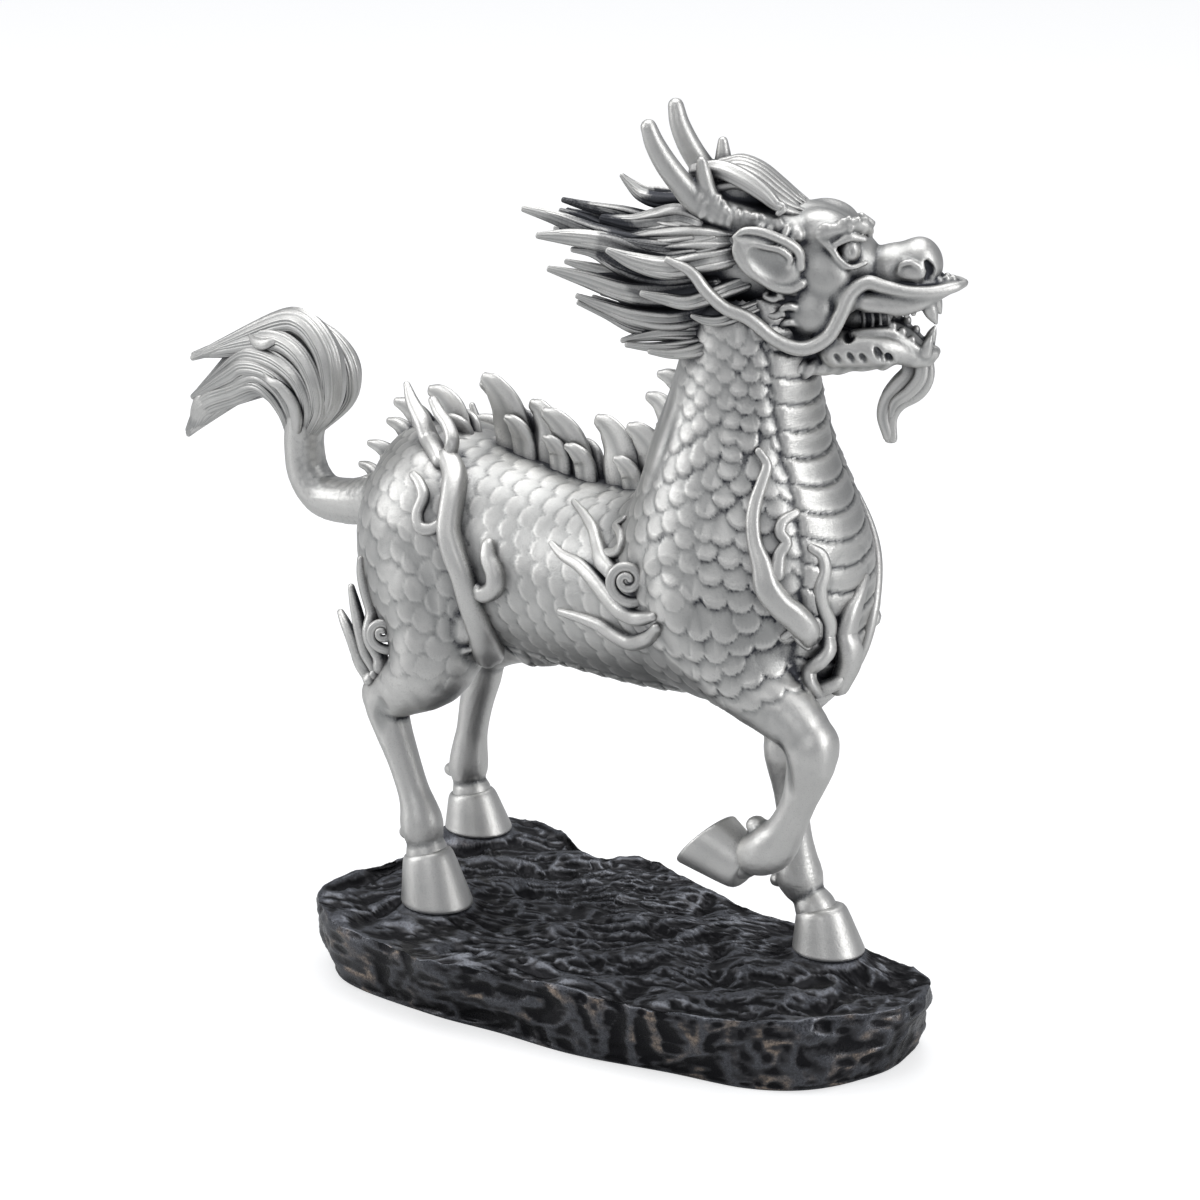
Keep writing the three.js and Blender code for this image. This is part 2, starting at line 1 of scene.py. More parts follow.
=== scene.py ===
# A qilin of cast pewter, striding on a dark rock: its fine surface, its finish and the studio round it.
# The modelling numbers are millimetres. The animal's count from the plane of its hooves, with +x ahead, +y to
# its left and +z up, and the head's are in its own axes: ahead, to its left and up.
import math

import bpy
import numpy as np
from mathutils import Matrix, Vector
from mathutils.kdtree import KDTree


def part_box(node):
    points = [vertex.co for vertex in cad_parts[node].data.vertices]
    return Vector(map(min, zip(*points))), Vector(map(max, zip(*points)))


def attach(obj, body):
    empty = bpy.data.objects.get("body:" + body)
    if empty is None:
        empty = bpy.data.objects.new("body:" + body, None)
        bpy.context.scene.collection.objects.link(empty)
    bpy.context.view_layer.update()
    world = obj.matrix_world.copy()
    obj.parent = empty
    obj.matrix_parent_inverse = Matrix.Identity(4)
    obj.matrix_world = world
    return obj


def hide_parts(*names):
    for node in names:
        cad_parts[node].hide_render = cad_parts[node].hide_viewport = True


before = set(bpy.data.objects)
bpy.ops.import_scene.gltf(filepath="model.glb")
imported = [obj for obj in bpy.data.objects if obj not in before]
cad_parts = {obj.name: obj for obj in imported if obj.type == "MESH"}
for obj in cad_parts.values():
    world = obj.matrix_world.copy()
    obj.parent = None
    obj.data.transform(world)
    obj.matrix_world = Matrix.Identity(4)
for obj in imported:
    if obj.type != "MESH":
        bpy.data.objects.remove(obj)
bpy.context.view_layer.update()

MM = 0.001
HOOF_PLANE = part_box("qilin_figure")[0][2] / MM
ROCK_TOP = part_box("rock_base")[1][2] / MM
DRAW = np.random.default_rng(11)
SIDES = (-1, 1)

# How fine the clay's grid is: coarser for the body, finer for the head.
BODY_CELL = 0.54
HEAD_CELL = 0.32
# Where the head's own axes start on the body, how far it is turned left and lifted in degrees, and its size.
HEAD_PLACE = (29.6, 0, 126)
HEAD_TURN = 30
HEAD_LIFT = 2.7
HEAD_SIZE = 0.945


# Modelling clay


# The distance of a grid point that no shape has come near, and the thinnest limb.
UNTOUCHED = 50.0
THINNEST = 0.05


class Clay:
    """A block of clay: on a grid, the distance to one surface, negative inside it."""

    def __init__(self, low, high, cell):
        self.low = np.array(low, np.float32)
        self.cell = cell
        self.count = np.ceil((np.array(high) - low) / cell).astype(int) + 1
        self.field = np.full(self.count, UNTOUCHED, np.float32)

    def window(self, low, high):
        """The part of the grid between two corners, and its points' coordinates."""
        first = np.clip(np.floor((low - self.low) / self.cell).astype(int), 0, self.count)
        last = np.clip(np.ceil((high - self.low) / self.cell).astype(int) + 1, 0, self.count)
        axes = [self.low[i] + self.cell * np.arange(first[i], last[i], dtype=np.float32) for i in range(3)]
        return tuple(slice(a, b) for a, b in zip(first, last)), np.meshgrid(*axes, indexing="ij", sparse=True)

    def merge(self, part, distance, blend, carve):
        """Joins a shape on with a fillet, or carves it out."""
        sign = -1.0 if carve else 1.0
        here, there = sign * self.field[part], distance
        joined = np.minimum(here, there)
        if blend:
            near = np.maximum(blend - np.abs(here - there), 0) / blend
            joined = joined - near * near * blend * 0.25
        self.field[part] = sign * joined

    def press(self, shape, blend=0.0, carve=False):
        """Joins one shape on with a fillet of `blend`, or carves it out."""
        low, high, distance = shape
        room = blend + 3 * self.cell
        part, (x, y, z) = self.window(np.array(low) - room, np.array(high) + room)
        if self.field[part].size:
            self.merge(part, distance(x, y, z), blend, carve)

    def press_all(self, eggs, side=1, carve=False):
        """Eggs given as (middle, radii, pitch, fillet), mirrored for side -1."""
        for (x, y, z), radii, pitch, blend in eggs:
            self.press(egg((x, side * y, z), radii, pitch), blend, carve)

    def limb(self, stations, blend=0.0, steps=4, carve=False):
        """A round limb of changing thickness through stations [x, y, z, radius]."""
        line = smooth_line(stations, steps)
        room = blend + 3 * self.cell
        places, radii = line[:, :3], line[:, 3:]
        part, _ = self.window((places - radii).min(0) - room, (places + radii).max(0) + room)
        best = np.full(self.field[part].shape, UNTOUCHED, np.float32)
        if not best.size:
            return
        first = [s.start for s in part]
        for a, b in zip(line[:-1], line[1:]):
            low, high, distance = cone(a[:3], max(a[3], THINNEST), b[:3], max(b[3], THINNEST))
            small, (x, y, z) = self.window(low - room, high + room)
            inner = tuple(slice(s.start - f, s.stop - f) for s, f in zip(small, first))
            best[inner] = np.minimum(best[inner], distance(x, y, z))
        self.merge(part, best, blend, carve)

    def depth(self, points):
        """The distance field at any points, between the grid's own."""
        at = (points - self.low) / self.cell
        low = np.clip(np.floor(at).astype(int), 0, self.count - 2)
        share = np.clip(at - low, 0, 1)
        total = np.zeros(len(points))
        for corner in np.ndindex(2, 2, 2):
            weight = np.prod(np.where(corner, share, 1 - share), axis=1)
            total += weight * self.field[tuple((low + corner).T)]
        return total

    def outward(self, points, reach=1.0):
        """Unit vectors away from the surface."""
        steps = np.eye(3) * reach
        slope = np.stack([self.depth(points + s) - self.depth(points - s) for s in steps], 1)
        return slope / np.maximum(np.linalg.norm(slope, axis=1, keepdims=True), 1e-6)

    def skin(self):
        """Corners and triangles of the surface, with one corner in each cell that it crosses."""
        field = self.field
        inside = field < 0
        total = np.zeros(self.count - 1, np.int8)
        for dx, dy, dz in np.ndindex(2, 2, 2):
            nx, ny, nz = self.count - 1
            total += inside[dx:nx + dx, dy:ny + dy, dz:nz + dz]
        active = (total > 0) & (total < 8)
        number = np.full(active.shape, -1, np.int64)
        amount = int(active.sum())
        number[active] = np.arange(amount)
        sums, hits, faces = np.zeros((amount, 3)), np.zeros(amount), []
        for axis in range(3):
            a = np.take(field, range(field.shape[axis] - 1), axis)
            b = np.take(field, range(1, field.shape[axis]), axis)
            edges = np.argwhere((a < 0) != (b < 0))
            u, v = (axis + 1) % 3, (axis + 2) % 3
            edges = edges[(edges[:, u] > 0) & (edges[:, v] > 0)]
            edges = edges[(edges[:, u] < field.shape[u] - 1) & (edges[:, v] < field.shape[v] - 1)]
            near, far = a[tuple(edges.T)], b[tuple(edges.T)]
            point = edges.astype(float)
            point[:, axis] += near / (near - far)
            ring = []
            for du, dv in ((-1, -1), (0, -1), (0, 0), (-1, 0)):
                cell = edges.copy()
                cell[:, u] += du
                cell[:, v] += dv
                who = number[tuple(cell.T)]
                for k in range(3):
                    sums[:, k] += np.bincount(who, point[:, k], amount)
                hits += np.bincount(who, minlength=amount)
                ring.append(who)
            quads = np.stack(ring, 1)
            quads[near > 0] = quads[near > 0][:, ::-1]
            faces.append(quads)
        points = self.low + self.cell * (sums / np.maximum(hits, 1)[:, None])
        quads = np.concatenate(faces)
        return points, np.concatenate([quads[:, [0, 1, 2]], quads[:, [0, 2, 3]]])


def egg(centre, radii, pitch=0.0, yaw=0.0, roll=0.0):
    """A ball stretched ahead, sideways and up; pitch lifts its front, yaw turns it left, roll tips it."""
    p, q, r = (math.radians(v) for v in (pitch, yaw, roll))
    ahead = np.array([math.cos(q) * math.cos(p), math.sin(q) * math.cos(p), math.sin(p)])
    left = np.array([-math.sin(q), math.cos(q), 0.0])
    up = np.cross(ahead, left)
    left, up = left * math.cos(r) + up * math.sin(r), up * math.cos(r) - left * math.sin(r)
    axes, c, size = np.array([ahead, left, up]), np.array(centre, float), np.array(radii, float)
    reach = np.sqrt(((axes * size[:, None]) ** 2).sum(0))

    def distance(x, y, z):
        q = [(a[0] * (x - c[0]) + a[1] * (y - c[1]) + a[2] * (z - c[2])) / s for a, s in zip(axes, size)]
        near = np.sqrt(q[0] ** 2 + q[1] ** 2 + q[2] ** 2) + 1e-6
        slope = np.sqrt((q[0] / size[0]) ** 2 + (q[1] / size[1]) ** 2 + (q[2] / size[2]) ** 2) + 1e-9
        return (near * (near - 1) / slope).astype(np.float32)

    return c - reach, c + reach, distance


def cone(a, ra, b, rb):
    """A ball at each end and the straight skin between them."""
    a, b = np.array(a, float), np.array(b, float)
    ba = b - a
    length = max(ba @ ba, 1e-6)
    slim = ra - rb
    slant = max(length - slim * slim, 0)

    def distance(x, y, z):
        px, py, pz = x - a[0], y - a[1], z - a[2]
        along = px * ba[0] + py * ba[1] + pz * ba[2]
        beyond = along - length
        side = ((px * length - ba[0] * along) ** 2 + (py * length - ba[1] * along) ** 2
                + (pz * length - ba[2] * along) ** 2)
        y2, z2 = along * along * length, beyond * beyond * length
        k = np.sign(slim) * slim * slim * side
        wall = (np.sqrt(side * slant / length) + along * slim) / length - ra
        far = np.sqrt(side + z2) / length - rb
        near = np.sqrt(side + y2) / length - ra
        both = np.where(np.sign(along) * slant * y2 < k, near, wall)
        return np.where(np.sign(beyond) * slant * z2 > k, far, both).astype(np.float32)

    return np.minimum(a - ra, b - rb), np.maximum(a + ra, b + rb), distance


def smooth_line(stations, steps):
    """Points on a smooth line through the stations, with the sizes that come with them."""
    s = np.array(stations, float)
    padded = np.vstack([2 * s[0] - s[1], s, 2 * s[-1] - s[-2]])
    line = []
    for i in range(len(s) - 1):
        p0, p1, p2, p3 = padded[i:i + 4]
        for t in np.linspace(0, 1, steps, endpoint=False):
            line.append(0.5 * (2 * p1 + (p2 - p0) * t + (2 * p0 - 5 * p1 + 4 * p2 - p3) * t * t
                               + (3 * p1 - 3 * p2 + p3 - p0) * t ** 3))
    line.append(s[-1])
    return np.array(line)


def eased(values, rounds):
    """Values along a line, each but the first and last evened out with its neighbours some times over."""
    for _ in range(rounds):
        values[1:-1] = (values[:-2] + 2 * values[1:-1] + values[2:]) / 4
    return values


def on_side(side, stations):
    """Stations given for the left side, mirrored for side -1."""
    return [(x, side * y, *rest) for x, y, *rest in stations]


# Sweeps


# Where the rings of a sweep's round end lie, in degrees from its last full ring towards its tip.
ROUND_END = (30, 58, 80)


def unit(vectors):
    """Vectors made one long."""
    return vectors / np.maximum(np.linalg.norm(vectors, axis=-1, keepdims=True), 1e-9)


def with_round_ends(line, out):
    """The line and its outward directions carried on past both ends by half a ball."""
    angles = np.radians(ROUND_END)[:, None]
    first, last = line[0], line[-1]
    caps = []
    for row, beside in ((first, line[1]), (last, line[-2])):
        way = unit(row[:3] - beside[:3])
        caps.append(np.hstack([row[:3] + way * row[4] * np.sin(angles), row[3:] * np.cos(angles)]))
    line = np.concatenate([caps[0][::-1], line, caps[1]])
    return line, np.concatenate([[out[0]] * len(angles), out, [out[-1]] * len(angles)])


def sweep(line, out, section, sides=14):
    """A closed tube along points [x, y, z, half width, half thickness], its thickness along `out`. `section`
    gives each angle round it a radius, with angle 0 at the side and a quarter turn at `out`."""
    line, out = with_round_ends(line, np.broadcast_to(np.array(out, float), (len(line), 3)))
    places = line[:, :3]
    along = unit(np.gradient(places, axis=0))
    wide = unit(np.cross(out, along))
    thick = unit(np.cross(along, wide))
    angle = np.linspace(0, 2 * math.pi, sides, endpoint=False)
    radius = section(angle)
    side = (np.cos(angle) * radius)[None, :, None] * wide[:, None] * line[:, 3, None, None]
    rise = (np.sin(angle) * radius)[None, :, None] * thick[:, None] * line[:, 4, None, None]
    rings = places[:, None] + side + rise
    return rings_to_mesh(rings, np.array([rings[0].mean(0), rings[-1].mean(0)]))


def rings_to_mesh(rings, ends):
    """Corners and triangles of a closed skin over rings of points, with a middle point at each end."""
    amount, sides = rings.shape[:2]
    points = np.concatenate([rings.reshape(-1, 3), ends])
    j = np.arange(sides)
    after = (j + 1) % sides
    start = np.arange(amount - 1)[:, None] * sides
    low, low_next = (start + j).ravel(), (start + after).ravel()
    high, high_next = low + sides, low_next + sides
    last = (amount - 1) * sides
    faces = [
        np.stack([low, low_next, high_next], 1), np.stack([low, high_next, high], 1),
        np.stack([np.full(sides, amount * sides), after, j], 1),
        np.stack([np.full(sides, amount * sides + 1), last + j, last + after], 1),
    ]
    return points, np.concatenate(faces)


def joined(shapes):
    """Several (corners, triangles) as one."""
    points, faces, count = [], [], 0
    for p, f in shapes:
        points.append(p)
        faces.append(f + count)
        count += len(p)
    return np.concatenate(points), np.concatenate(faces)


def grooved(depth=0.22, width=0.45):
    """A round section with one groove along the middle of its outer face."""
    return lambda angle: 1 - depth * np.exp(-((angle - math.pi / 2) / width) ** 2)


def ridged(count, depth):
    """A round section with rounded ribs lengthwise."""
    return lambda angle: 1 + depth * np.cos(count * angle)


def combed(angle):
    """A round section with fine uneven hair lines lengthwise."""
    return 1 + 0.022 * np.cos(31 * angle) + 0.022 * np.cos(23 * angle + 1) + 0.03 * np.cos(9 * angle + 2)


def dished(angle):
    """A flat section whose two faces are hollowed along the middle."""
    return 1 - 0.42 * np.abs(np.sin(angle)) ** 3


# Looks that sit on the corners of a mesh


def corner_normals(points, faces):
    """Unit vectors out of the skin at its corners."""
    a, b, c = (points[faces[:, i]] for i in range(3))
    cross = np.cross(b - a, c - a)
    total = np.zeros_like(points)
    for i in range(3):
        for k in range(3):
            total[:, k] += np.bincount(faces[:, i], cross[:, k], len(points))
    return unit(total)


def smoothed(values, faces, rounds):
    """Values at the corners, each replaced by the mean of its neighbours some times over."""
    edges = np.concatenate([faces[:, [0, 1]], faces[:, [1, 2]], faces[:, [2, 0]]])
    degree = np.maximum(np.bincount(edges[:, 0], minlength=len(values)), 1)
    flat = values.reshape(len(values), -1)
    for _ in range(rounds):
        sums = [np.bincount(edges[:, 0], column[edges[:, 1]], len(values)) for column in flat.T]
        flat = np.stack(sums, 1) / degree[:, None]
    return flat.reshape(values.shape)


def hollowness(points, faces, normals, rounds, depth):
    """How far each corner lies below the skin smoothed over it, in shares of `depth`."""
    return ((smoothed(points, faces, rounds) - points) * normals).sum(1) / depth


class PaintedCrowdShade:
    """How near other skin stands in front of a corner, which darkens the colour there as painted shade.
    Skin is counted on a grid of CELL, and looked for at REACHES, straight out and at a TILT to four sides."""

    CELL = 1.0
    MARGIN = 10
    REACHES = (2.0, 3.4, 5.4)
    TILT = 0.9

    def __init__(self, shapes):
        every = np.concatenate([p for p, _ in shapes])
        self.low = every.min(0) - self.MARGIN
        size = np.ceil((every.max(0) + self.MARGIN - self.low) / self.CELL).astype(int)
        grid = np.zeros(size)
        for points, faces in shapes:
            a, b, c = (points[faces[:, i]] for i in range(3))
            area = np.linalg.norm(np.cross(b - a, c - a), axis=1) / 2
            cell = (((a + b + c) / 3 - self.low) / self.CELL).astype(int)
            flat = np.ravel_multi_index(tuple(cell.T), grid.shape)
            grid += np.bincount(flat, area, grid.size).reshape(grid.shape)
        grid = np.minimum(grid / self.CELL ** 2, 1)
        for axis in range(3):
            grid = (np.roll(grid, 1, axis) + 2 * grid + np.roll(grid, -1, axis)) / 4
        self.grid = grid

    def sample(self, points):
        """The skin counted near each point, between the grid's own."""
        place = (points - self.low) / self.CELL - 0.5
        low = np.clip(np.floor(place).astype(int), 0, np.array(self.grid.shape) - 2)
        share = np.clip(place - low, 0, 1)
        flat = np.ravel_multi_index(tuple(low.T), self.grid.shape)
        step = (self.grid.shape[1] * self.grid.shape[2], self.grid.shape[2], 1)
        values, total = self.grid.ravel(), np.zeros(len(points))
        for corner in np.ndindex(2, 2, 2):
            weight = np.prod(np.where(corner, share, 1 - share), axis=1)
            total += weight * values[flat + sum(c * k for c, k in zip(corner, step))]
        return total

    def at(self, points, normals):
        """The mean over all directions and reaches, from 0 where nothing is near to 1."""
        side = unit(np.cross(normals, np.where(np.abs(normals[:, 2:]) > 0.8, (1.0, 0, 0), (0, 0, 1.0))))
        up = np.cross(side, normals)
        total = np.zeros(len(points))
        ways = (0 * side, side, -side, up, -up)
        for tilt in ways:
            way = unit(normals + self.TILT * tilt)
            for reach in self.REACHES:
                total += self.sample(points + way * reach)
        return total / (len(ways) * len(self.REACHES))


# Noise


# Large numbers that mix a cell's three counts, its seed and the result well.
CELL_MIXERS = (73856093, 19349663, 83492791)
SEED_MIXER, LAST_MIXER = 2654435, 1274126177


def lattice(cells, seed):
    """A fixed random number between 0 and 1 for each whole-numbered cell."""
    a, b, c = (cells[..., i] * mixer for i, mixer in enumerate(CELL_MIXERS))
    mixed = a ^ b ^ c ^ seed * SEED_MIXER
    mixed = (mixed ^ (mixed >> 13)) * LAST_MIXER & 0x7FFFFFFF
    return ((mixed ^ (mixed >> 16)) & 0xFFFF) / 0xFFFF


def ramp(value, start, length):
    """0 up to `start`, then rising to 1 over `length`; a length below 0 counts the other way."""
    return np.clip((value - start) / length, 0, 1)


def noise(points, size, seed=0):
    """Smooth noise from -1 to 1 with bumps about `size` across."""
    at = points / size
    low = np.floor(at).astype(np.int64)
    share = at - low
    share = share * share * (3 - 2 * share)
    total = np.zeros(len(points))
    for corner in np.ndindex(2, 2, 2):
        weight = np.prod(np.where(corner, share, 1 - share), axis=1)
        total += weight * lattice(low + corner, seed)
    return 2 * total - 1


# The trunk and legs


# Stations of every limb: ahead, to the left, up, and radius.
RIGHT_HIND_LEG = [
    (-37, -12, 64, 11.4), (-34.8, -15.2, 55, 9.9), (-35.2, -17.3, 49, 8.3), (-40.6, -18.6, 44, 5.9),
    (-45.2, -19.1, 39.8, 4.5), (-44.1, -19.3, 35.5, 3.9), (-41.2, -19.3, 29.2, 3.3),
    (-38.4, -19.3, 22.6, 3.2), (-36.9, -19.3, 18.8, 3.8), (-36.2, -19.3, 15.8, 4.35),
    (-35.4, -19.3, 12.2, 3.6), (-34.8, -19.3, 9.8, 4.3), (-34, -19.3, 6.5, 4.2),
]
LEFT_HIND_LEG = [
    (-42, 12, 64, 12), (-40.5, 15, 55, 10.8), (-40.5, 16.5, 49, 8.6), (-45.8, 17, 43.7, 5.8),
    (-50.4, 17, 39.5, 4.6), (-51.8, 17, 34, 4), (-53.6, 17, 27.5, 3.5), (-54.8, 17, 21.4, 3.3),
    (-55.5, 17, 17.4, 3.7), (-55.9, 17, 13.2, 4.1), (-56, 17, 9.9, 3.2), (-55, 17, 7.4, 4.1),
    (-54.6, 17, 5, 4),
]
LEFT_FRONT_LEG = [
    (30, 12, 72, 10.5), (29.5, 13, 62, 8), (30.5, 12.6, 52, 5.8), (31.8, 12, 43, 4.7),
    (32.3, 12, 38.5, 4.9), (32.8, 12, 31, 3.4), (34, 12, 22.6, 3.2), (34.8, 12, 17, 3.9),
    (35.4, 12, 13.4, 4.6), (37.4, 12, 10.2, 3.2), (39.4, 12, 7.8, 4.1), (40.8, 12, 5, 4),
]
RIGHT_FRONT_LEG = [
    (31, -13, 76, 11), (36.5, -14, 69, 9.2), (42.5, -13.8, 63, 7.5), (49, -13.2, 59, 6.2),
    (54.2, -13, 55.7, 5.3), (56.7, -13, 51, 4.9), (55.6, -13, 46, 4), (53.6, -13, 40.3, 3.3),
    (50.6, -13, 34.2, 3.7), (47.8, -13, 30.6, 4.7), (45.2, -13, 28.6, 4.5), (42.4, -13, 27.2, 3.6),
    (40.6, -13, 26, 3.8), (38.2, -13, 25.8, 4),
]
# Behind each fetlock: a small double claw.
DEWCLAWS = [(-39.8, -19.3, 13.4), (-60.2, 17, 11.4), (30.4, 12, 11.6), (43.8, -13, 34)]
TAIL = [
    (-52, 0, 77, 9), (-60, 0, 75.4, 6.3), (-68, 0, 72.8, 5), (-74, 0, 71.6, 4.7), (-80, 0, 71.8, 4.5),
    (-84.2, 0, 75.8, 4.3), (-85.2, 0, 82, 4.1), (-84.6, 0, 87, 4.3), (-84, 0, 91, 5),
]
TRUNK = [(-43, 0, 72.5, 18.5), (-30, 0, 71.8, 20), (-8, 0, 70.4, 19), (14, 0, 71.5, 19.5), (32, 0, 76, 20.5)]
NECK = [
    (28, 0, 84, 20), (29.5, 0, 94, 19.3), (29.8, 0, 102, 17.2), (30.2, 0, 110, 14.9), (30.8, 0, 118, 13.2),
    (31, 0, 127, 11.8),
]
# Eggs of clay: middle, radii ahead, sideways and up, how far the front is lifted in degrees, and fillet.
CHEST = [((35, 0, 83), (20.5, 19, 21), -25, 8), ((44.6, -0.5, 66), (8.4, 10, 15.5), -15, 8)]
HAUNCH = (-42, 10.5, 68.5), (16, 12.3, 22.5), 9, 6
HAUNCH_SHIFT = 2
SHOULDER = (30, 11, 76), (15, 10.5, 20), 20, 6
RUMP = [((-46, 0, 80), (15, 10, 13), 0, 6)]
BELLY_BUMP = [((-18, -4, 53.5), (6, 4, 3.6), 12, 2.5)]
HOCK_POINTS = [((-48.6, -19.1, 41.2), (2.6, 2.7, 3.2), 0, 2), ((-53, 17, 40.8), (2.6, 2.7, 3.2), 0, 2)]
TENDON_HOLLOWS = [
    ((-43.6, -24.4, 38), (2.4, 1.4, 4.2), 0, 2.5), ((-47.6, 22.2, 37.5), (2.4, 1.4, 4.2), 0, 2.5),
]
# A boss with a fold round it, low on each thigh.
THIGH_BOSS = [((-25.2, 18.4, 59.4), (2.6, 1.8, 3.2), 0, 1)]
THIGH_FOLD = [
    (-28.6, 18.6, 59.6, 0.5), (-27.8, 18.6, 56.4, 0.6), (-25, 18.2, 54.8, 0.6), (-22.4, 17.4, 56.4, 0.5),
]
KNEECAPS = [((58.3, -13, 52.4), (2.8, 4.2, 4.4), -20, 2), ((34.6, 12, 38.6), (2.6, 3.8, 4), 0, 2)]
FOREARM_HOLLOW = [((53.3, -17.5, 47.5), (1.6, 1.3, 5.6), 12, 1.5)]


def body_clay():
    """The animal without its head, hooves, tuft, crest and flames."""
    clay = Clay((-92, -32, 3), (66, 34, 134), BODY_CELL)
    clay.limb(TRUNK)
    clay.press_all(CHEST)
    for side in SIDES:
        (x, y, z), *haunch = HAUNCH
        clay.press_all([((x - HAUNCH_SHIFT * side, y, z), *haunch), SHOULDER], side)
    clay.press_all(RUMP)
    clay.limb(NECK, 6)
    for leg in (RIGHT_HIND_LEG, LEFT_HIND_LEG, LEFT_FRONT_LEG, RIGHT_FRONT_LEG):
        clay.limb(leg, 4, steps=3)
    add_joints(clay)
    clay.limb(TAIL, 3)
    clay.press_all(BELLY_BUMP)
    return clay


def add_joints(clay):
    """Bones and hollows of the knees, hocks and fetlocks."""
    clay.press_all(HOCK_POINTS)
    clay.press_all(TENDON_HOLLOWS, carve=True)
    for side in SIDES:
        clay.press_all(THIGH_BOSS, side)
        clay.limb(on_side(side, THIGH_FOLD), 0.8)
    clay.press_all(KNEECAPS)
    clay.press_all(FOREARM_HOLLOW, carve=True)
    for place in DEWCLAWS:
        clay.press(egg(place, (2.1, 1.9, 1.6), pitch=20), 1)


# Scales


SCALE_LENGTH = 5.0
SMALLEST_SCALE = 0.38
SCALE_LIFT = 0.5
SEAM_HALF_WIDTH = 0.36
# A scale's half width and its reach towards its free edge, in shares of its length, and how much they vary.
SCALE_HALF_WIDTH, SCALE_REACH = 0.61, 0.66
SCALE_UNEVEN = 0.06
FIRST_SCALE = (0, -19.2, 74)
# Where the next scales grow beside one, along its direction and across it, and how near two may stand.
NEXT_SCALES = ((0, 1), (0, -1), (0.78, 0.5), (0.78, -0.5), (-0.78, 0.5), (-0.78, -0.5))
NEAREST_SCALE = 0.74
# Between which places scales grow, counted ahead and up.
SCALES_AHEAD = (-88, 62)
SCALES_UP = (40, 130)
# Which way the scales' free edges point, as a place (x, z) and a direction (x, z), the same on both sides.
FLOW = [
    ((-56, 84), (-0.8, -0.6)), ((-48, 92), (-0.95, -0.3)), ((-46, 74), (-0.45, -0.9)),
    ((-42, 58), (-0.1, -1)), ((-28, 90), (-1, -0.1)), ((-26, 72), (-0.95, -0.3)), ((-24, 56), (-0.9, -0.4)),
    ((-6, 90), (-1, -0.1)), ((-6, 72), (-0.95, -0.3)), ((-6, 54), (-1, 0)), ((10, 90), (-0.9, -0.4)),
    ((10, 70), (-0.9, -0.45)), ((10, 56), (-1, -0.1)), ((24, 96), (-0.5, -0.85)), ((28, 80), (-0.3, -0.95)),
    ((32, 68), (0.1, -1)), ((24, 108), (-0.25, -0.95)), ((30, 120), (-0.1, -1)), ((44, 86), (-0.1, -1)),
    ((42, 64), (0.55, -0.85)), ((50, 58), (0.6, -0.8)), ((30, 56), (0.05, -1)),
]
PLATE_PITCH = 4.9
PLATE_HEIGHT = 0.6
# Half the width of the run of plates at different heights.
PLATE_LEVELS = (82, 92, 102, 112)
PLATE_HALF_WIDTHS = (11.2, 9.6, 7.6, 7.0)
# Where the run of plates turns from the chest to the belly: x and z of the turn's middle, and its radius.
CHEST_TURN = (40, 70, 19)
# Heights: of the neck's foot, of the chest's top, where scales start to be finer, and of the lowest seam
# beside the plates.
NECK_FROM, CHEST_TOP, SEAMS_FROM = 94, 84, 62
# The throat's and the chest's plates lie ahead of this.
CHEST_FRONT = 36
# Behind these, the tail's scales are lower, the rump's are finer, and the tail's stalk is bare.
TAIL_FROM, THIGH_REAR, TAIL_STALK = -52, -48, -84


def flow(points, normals):
    """The scales' direction at each point, along the skin."""
    places = np.array([place for place, _ in FLOW], float)
    ways = np.array([way for _, way in FLOW], float)
    gap = ((points[:, None, [0, 2]] - places) ** 2).sum(2)
    weight = 1 / (gap + 30) ** 2
    mixed = weight @ ways / weight.sum(1, keepdims=True)
    way = np.stack([mixed[:, 0], np.zeros(len(points)), mixed[:, 1]], 1)
    way -= (way * normals).sum(1, keepdims=True) * normals
    return unit(way)


def pitch_at(points):
    """Scales are smaller on the neck, the legs, the rump and the tail's root."""
    x, _, z = points.T
    small = ramp(z, CHEST_TOP, 24) * 0.24
    small += ramp(z, 62, -12) * ramp(x, 30, 10) * 0.22
    small += ramp(x, THIGH_REAR, -16) * (1 - SMALLEST_SCALE)
    return SCALE_LENGTH * (1 - np.minimum(small, 1 - SMALLEST_SCALE))


def plate_run(points):
    """How far along the throat, chest and belly a point lies."""
    x, _, z = points.T
    turn_x, turn_z, radius = CHEST_TURN
    angle = np.arctan2(turn_z - z, np.maximum(x - turn_x, 1e-3))
    run = np.where(z > turn_z, z - turn_z, -radius * np.clip(angle, 0, math.pi / 2))
    return np.where((x < turn_x) & (z < turn_z), -radius * math.pi / 2 - (turn_x - x), run)


def plate_edge(points):
    """How far inside the run of plates a point lies, sideways."""
    return np.interp(points[:, 2], PLATE_LEVELS, PLATE_HALF_WIDTHS) - np.abs(points[:, 1])


def plate_mask(points, normals):
    """1 where the throat's, chest's and belly's plates are."""
    x, _, z = points.T
    ahead = ramp(normals[:, 0], 0.15, 0.2) * ramp(x, CHEST_FRONT, 2)
    under = ramp(-normals[:, 2], 0.6, 0.2) * ramp(z, 60, -2) * (x < 46) * (x > -24)
    return np.maximum(ahead, under) * np.clip(plate_edge(points) / 0.9 + 0.5, 0, 1)


def seam_mask(points, normals):
    """1 along the groove beside the plates of the throat and chest."""
    ahead = ramp(normals[:, 0], 0.1, 0.2) * ramp(points[:, 0], CHEST_FRONT, 2)
    return ahead * ramp(points[:, 2], SEAMS_FROM, 4) * np.exp(-((plate_edge(points) + 0.4) / 1.1) ** 2)


def nape_mask(points):
    """1 on the smooth skin along the back of the neck."""
    x, _, z = points.T
    return ramp(x + 0.3 * np.abs(z - 110), 27.5, -3) * ramp(z, NECK_FROM, 5)


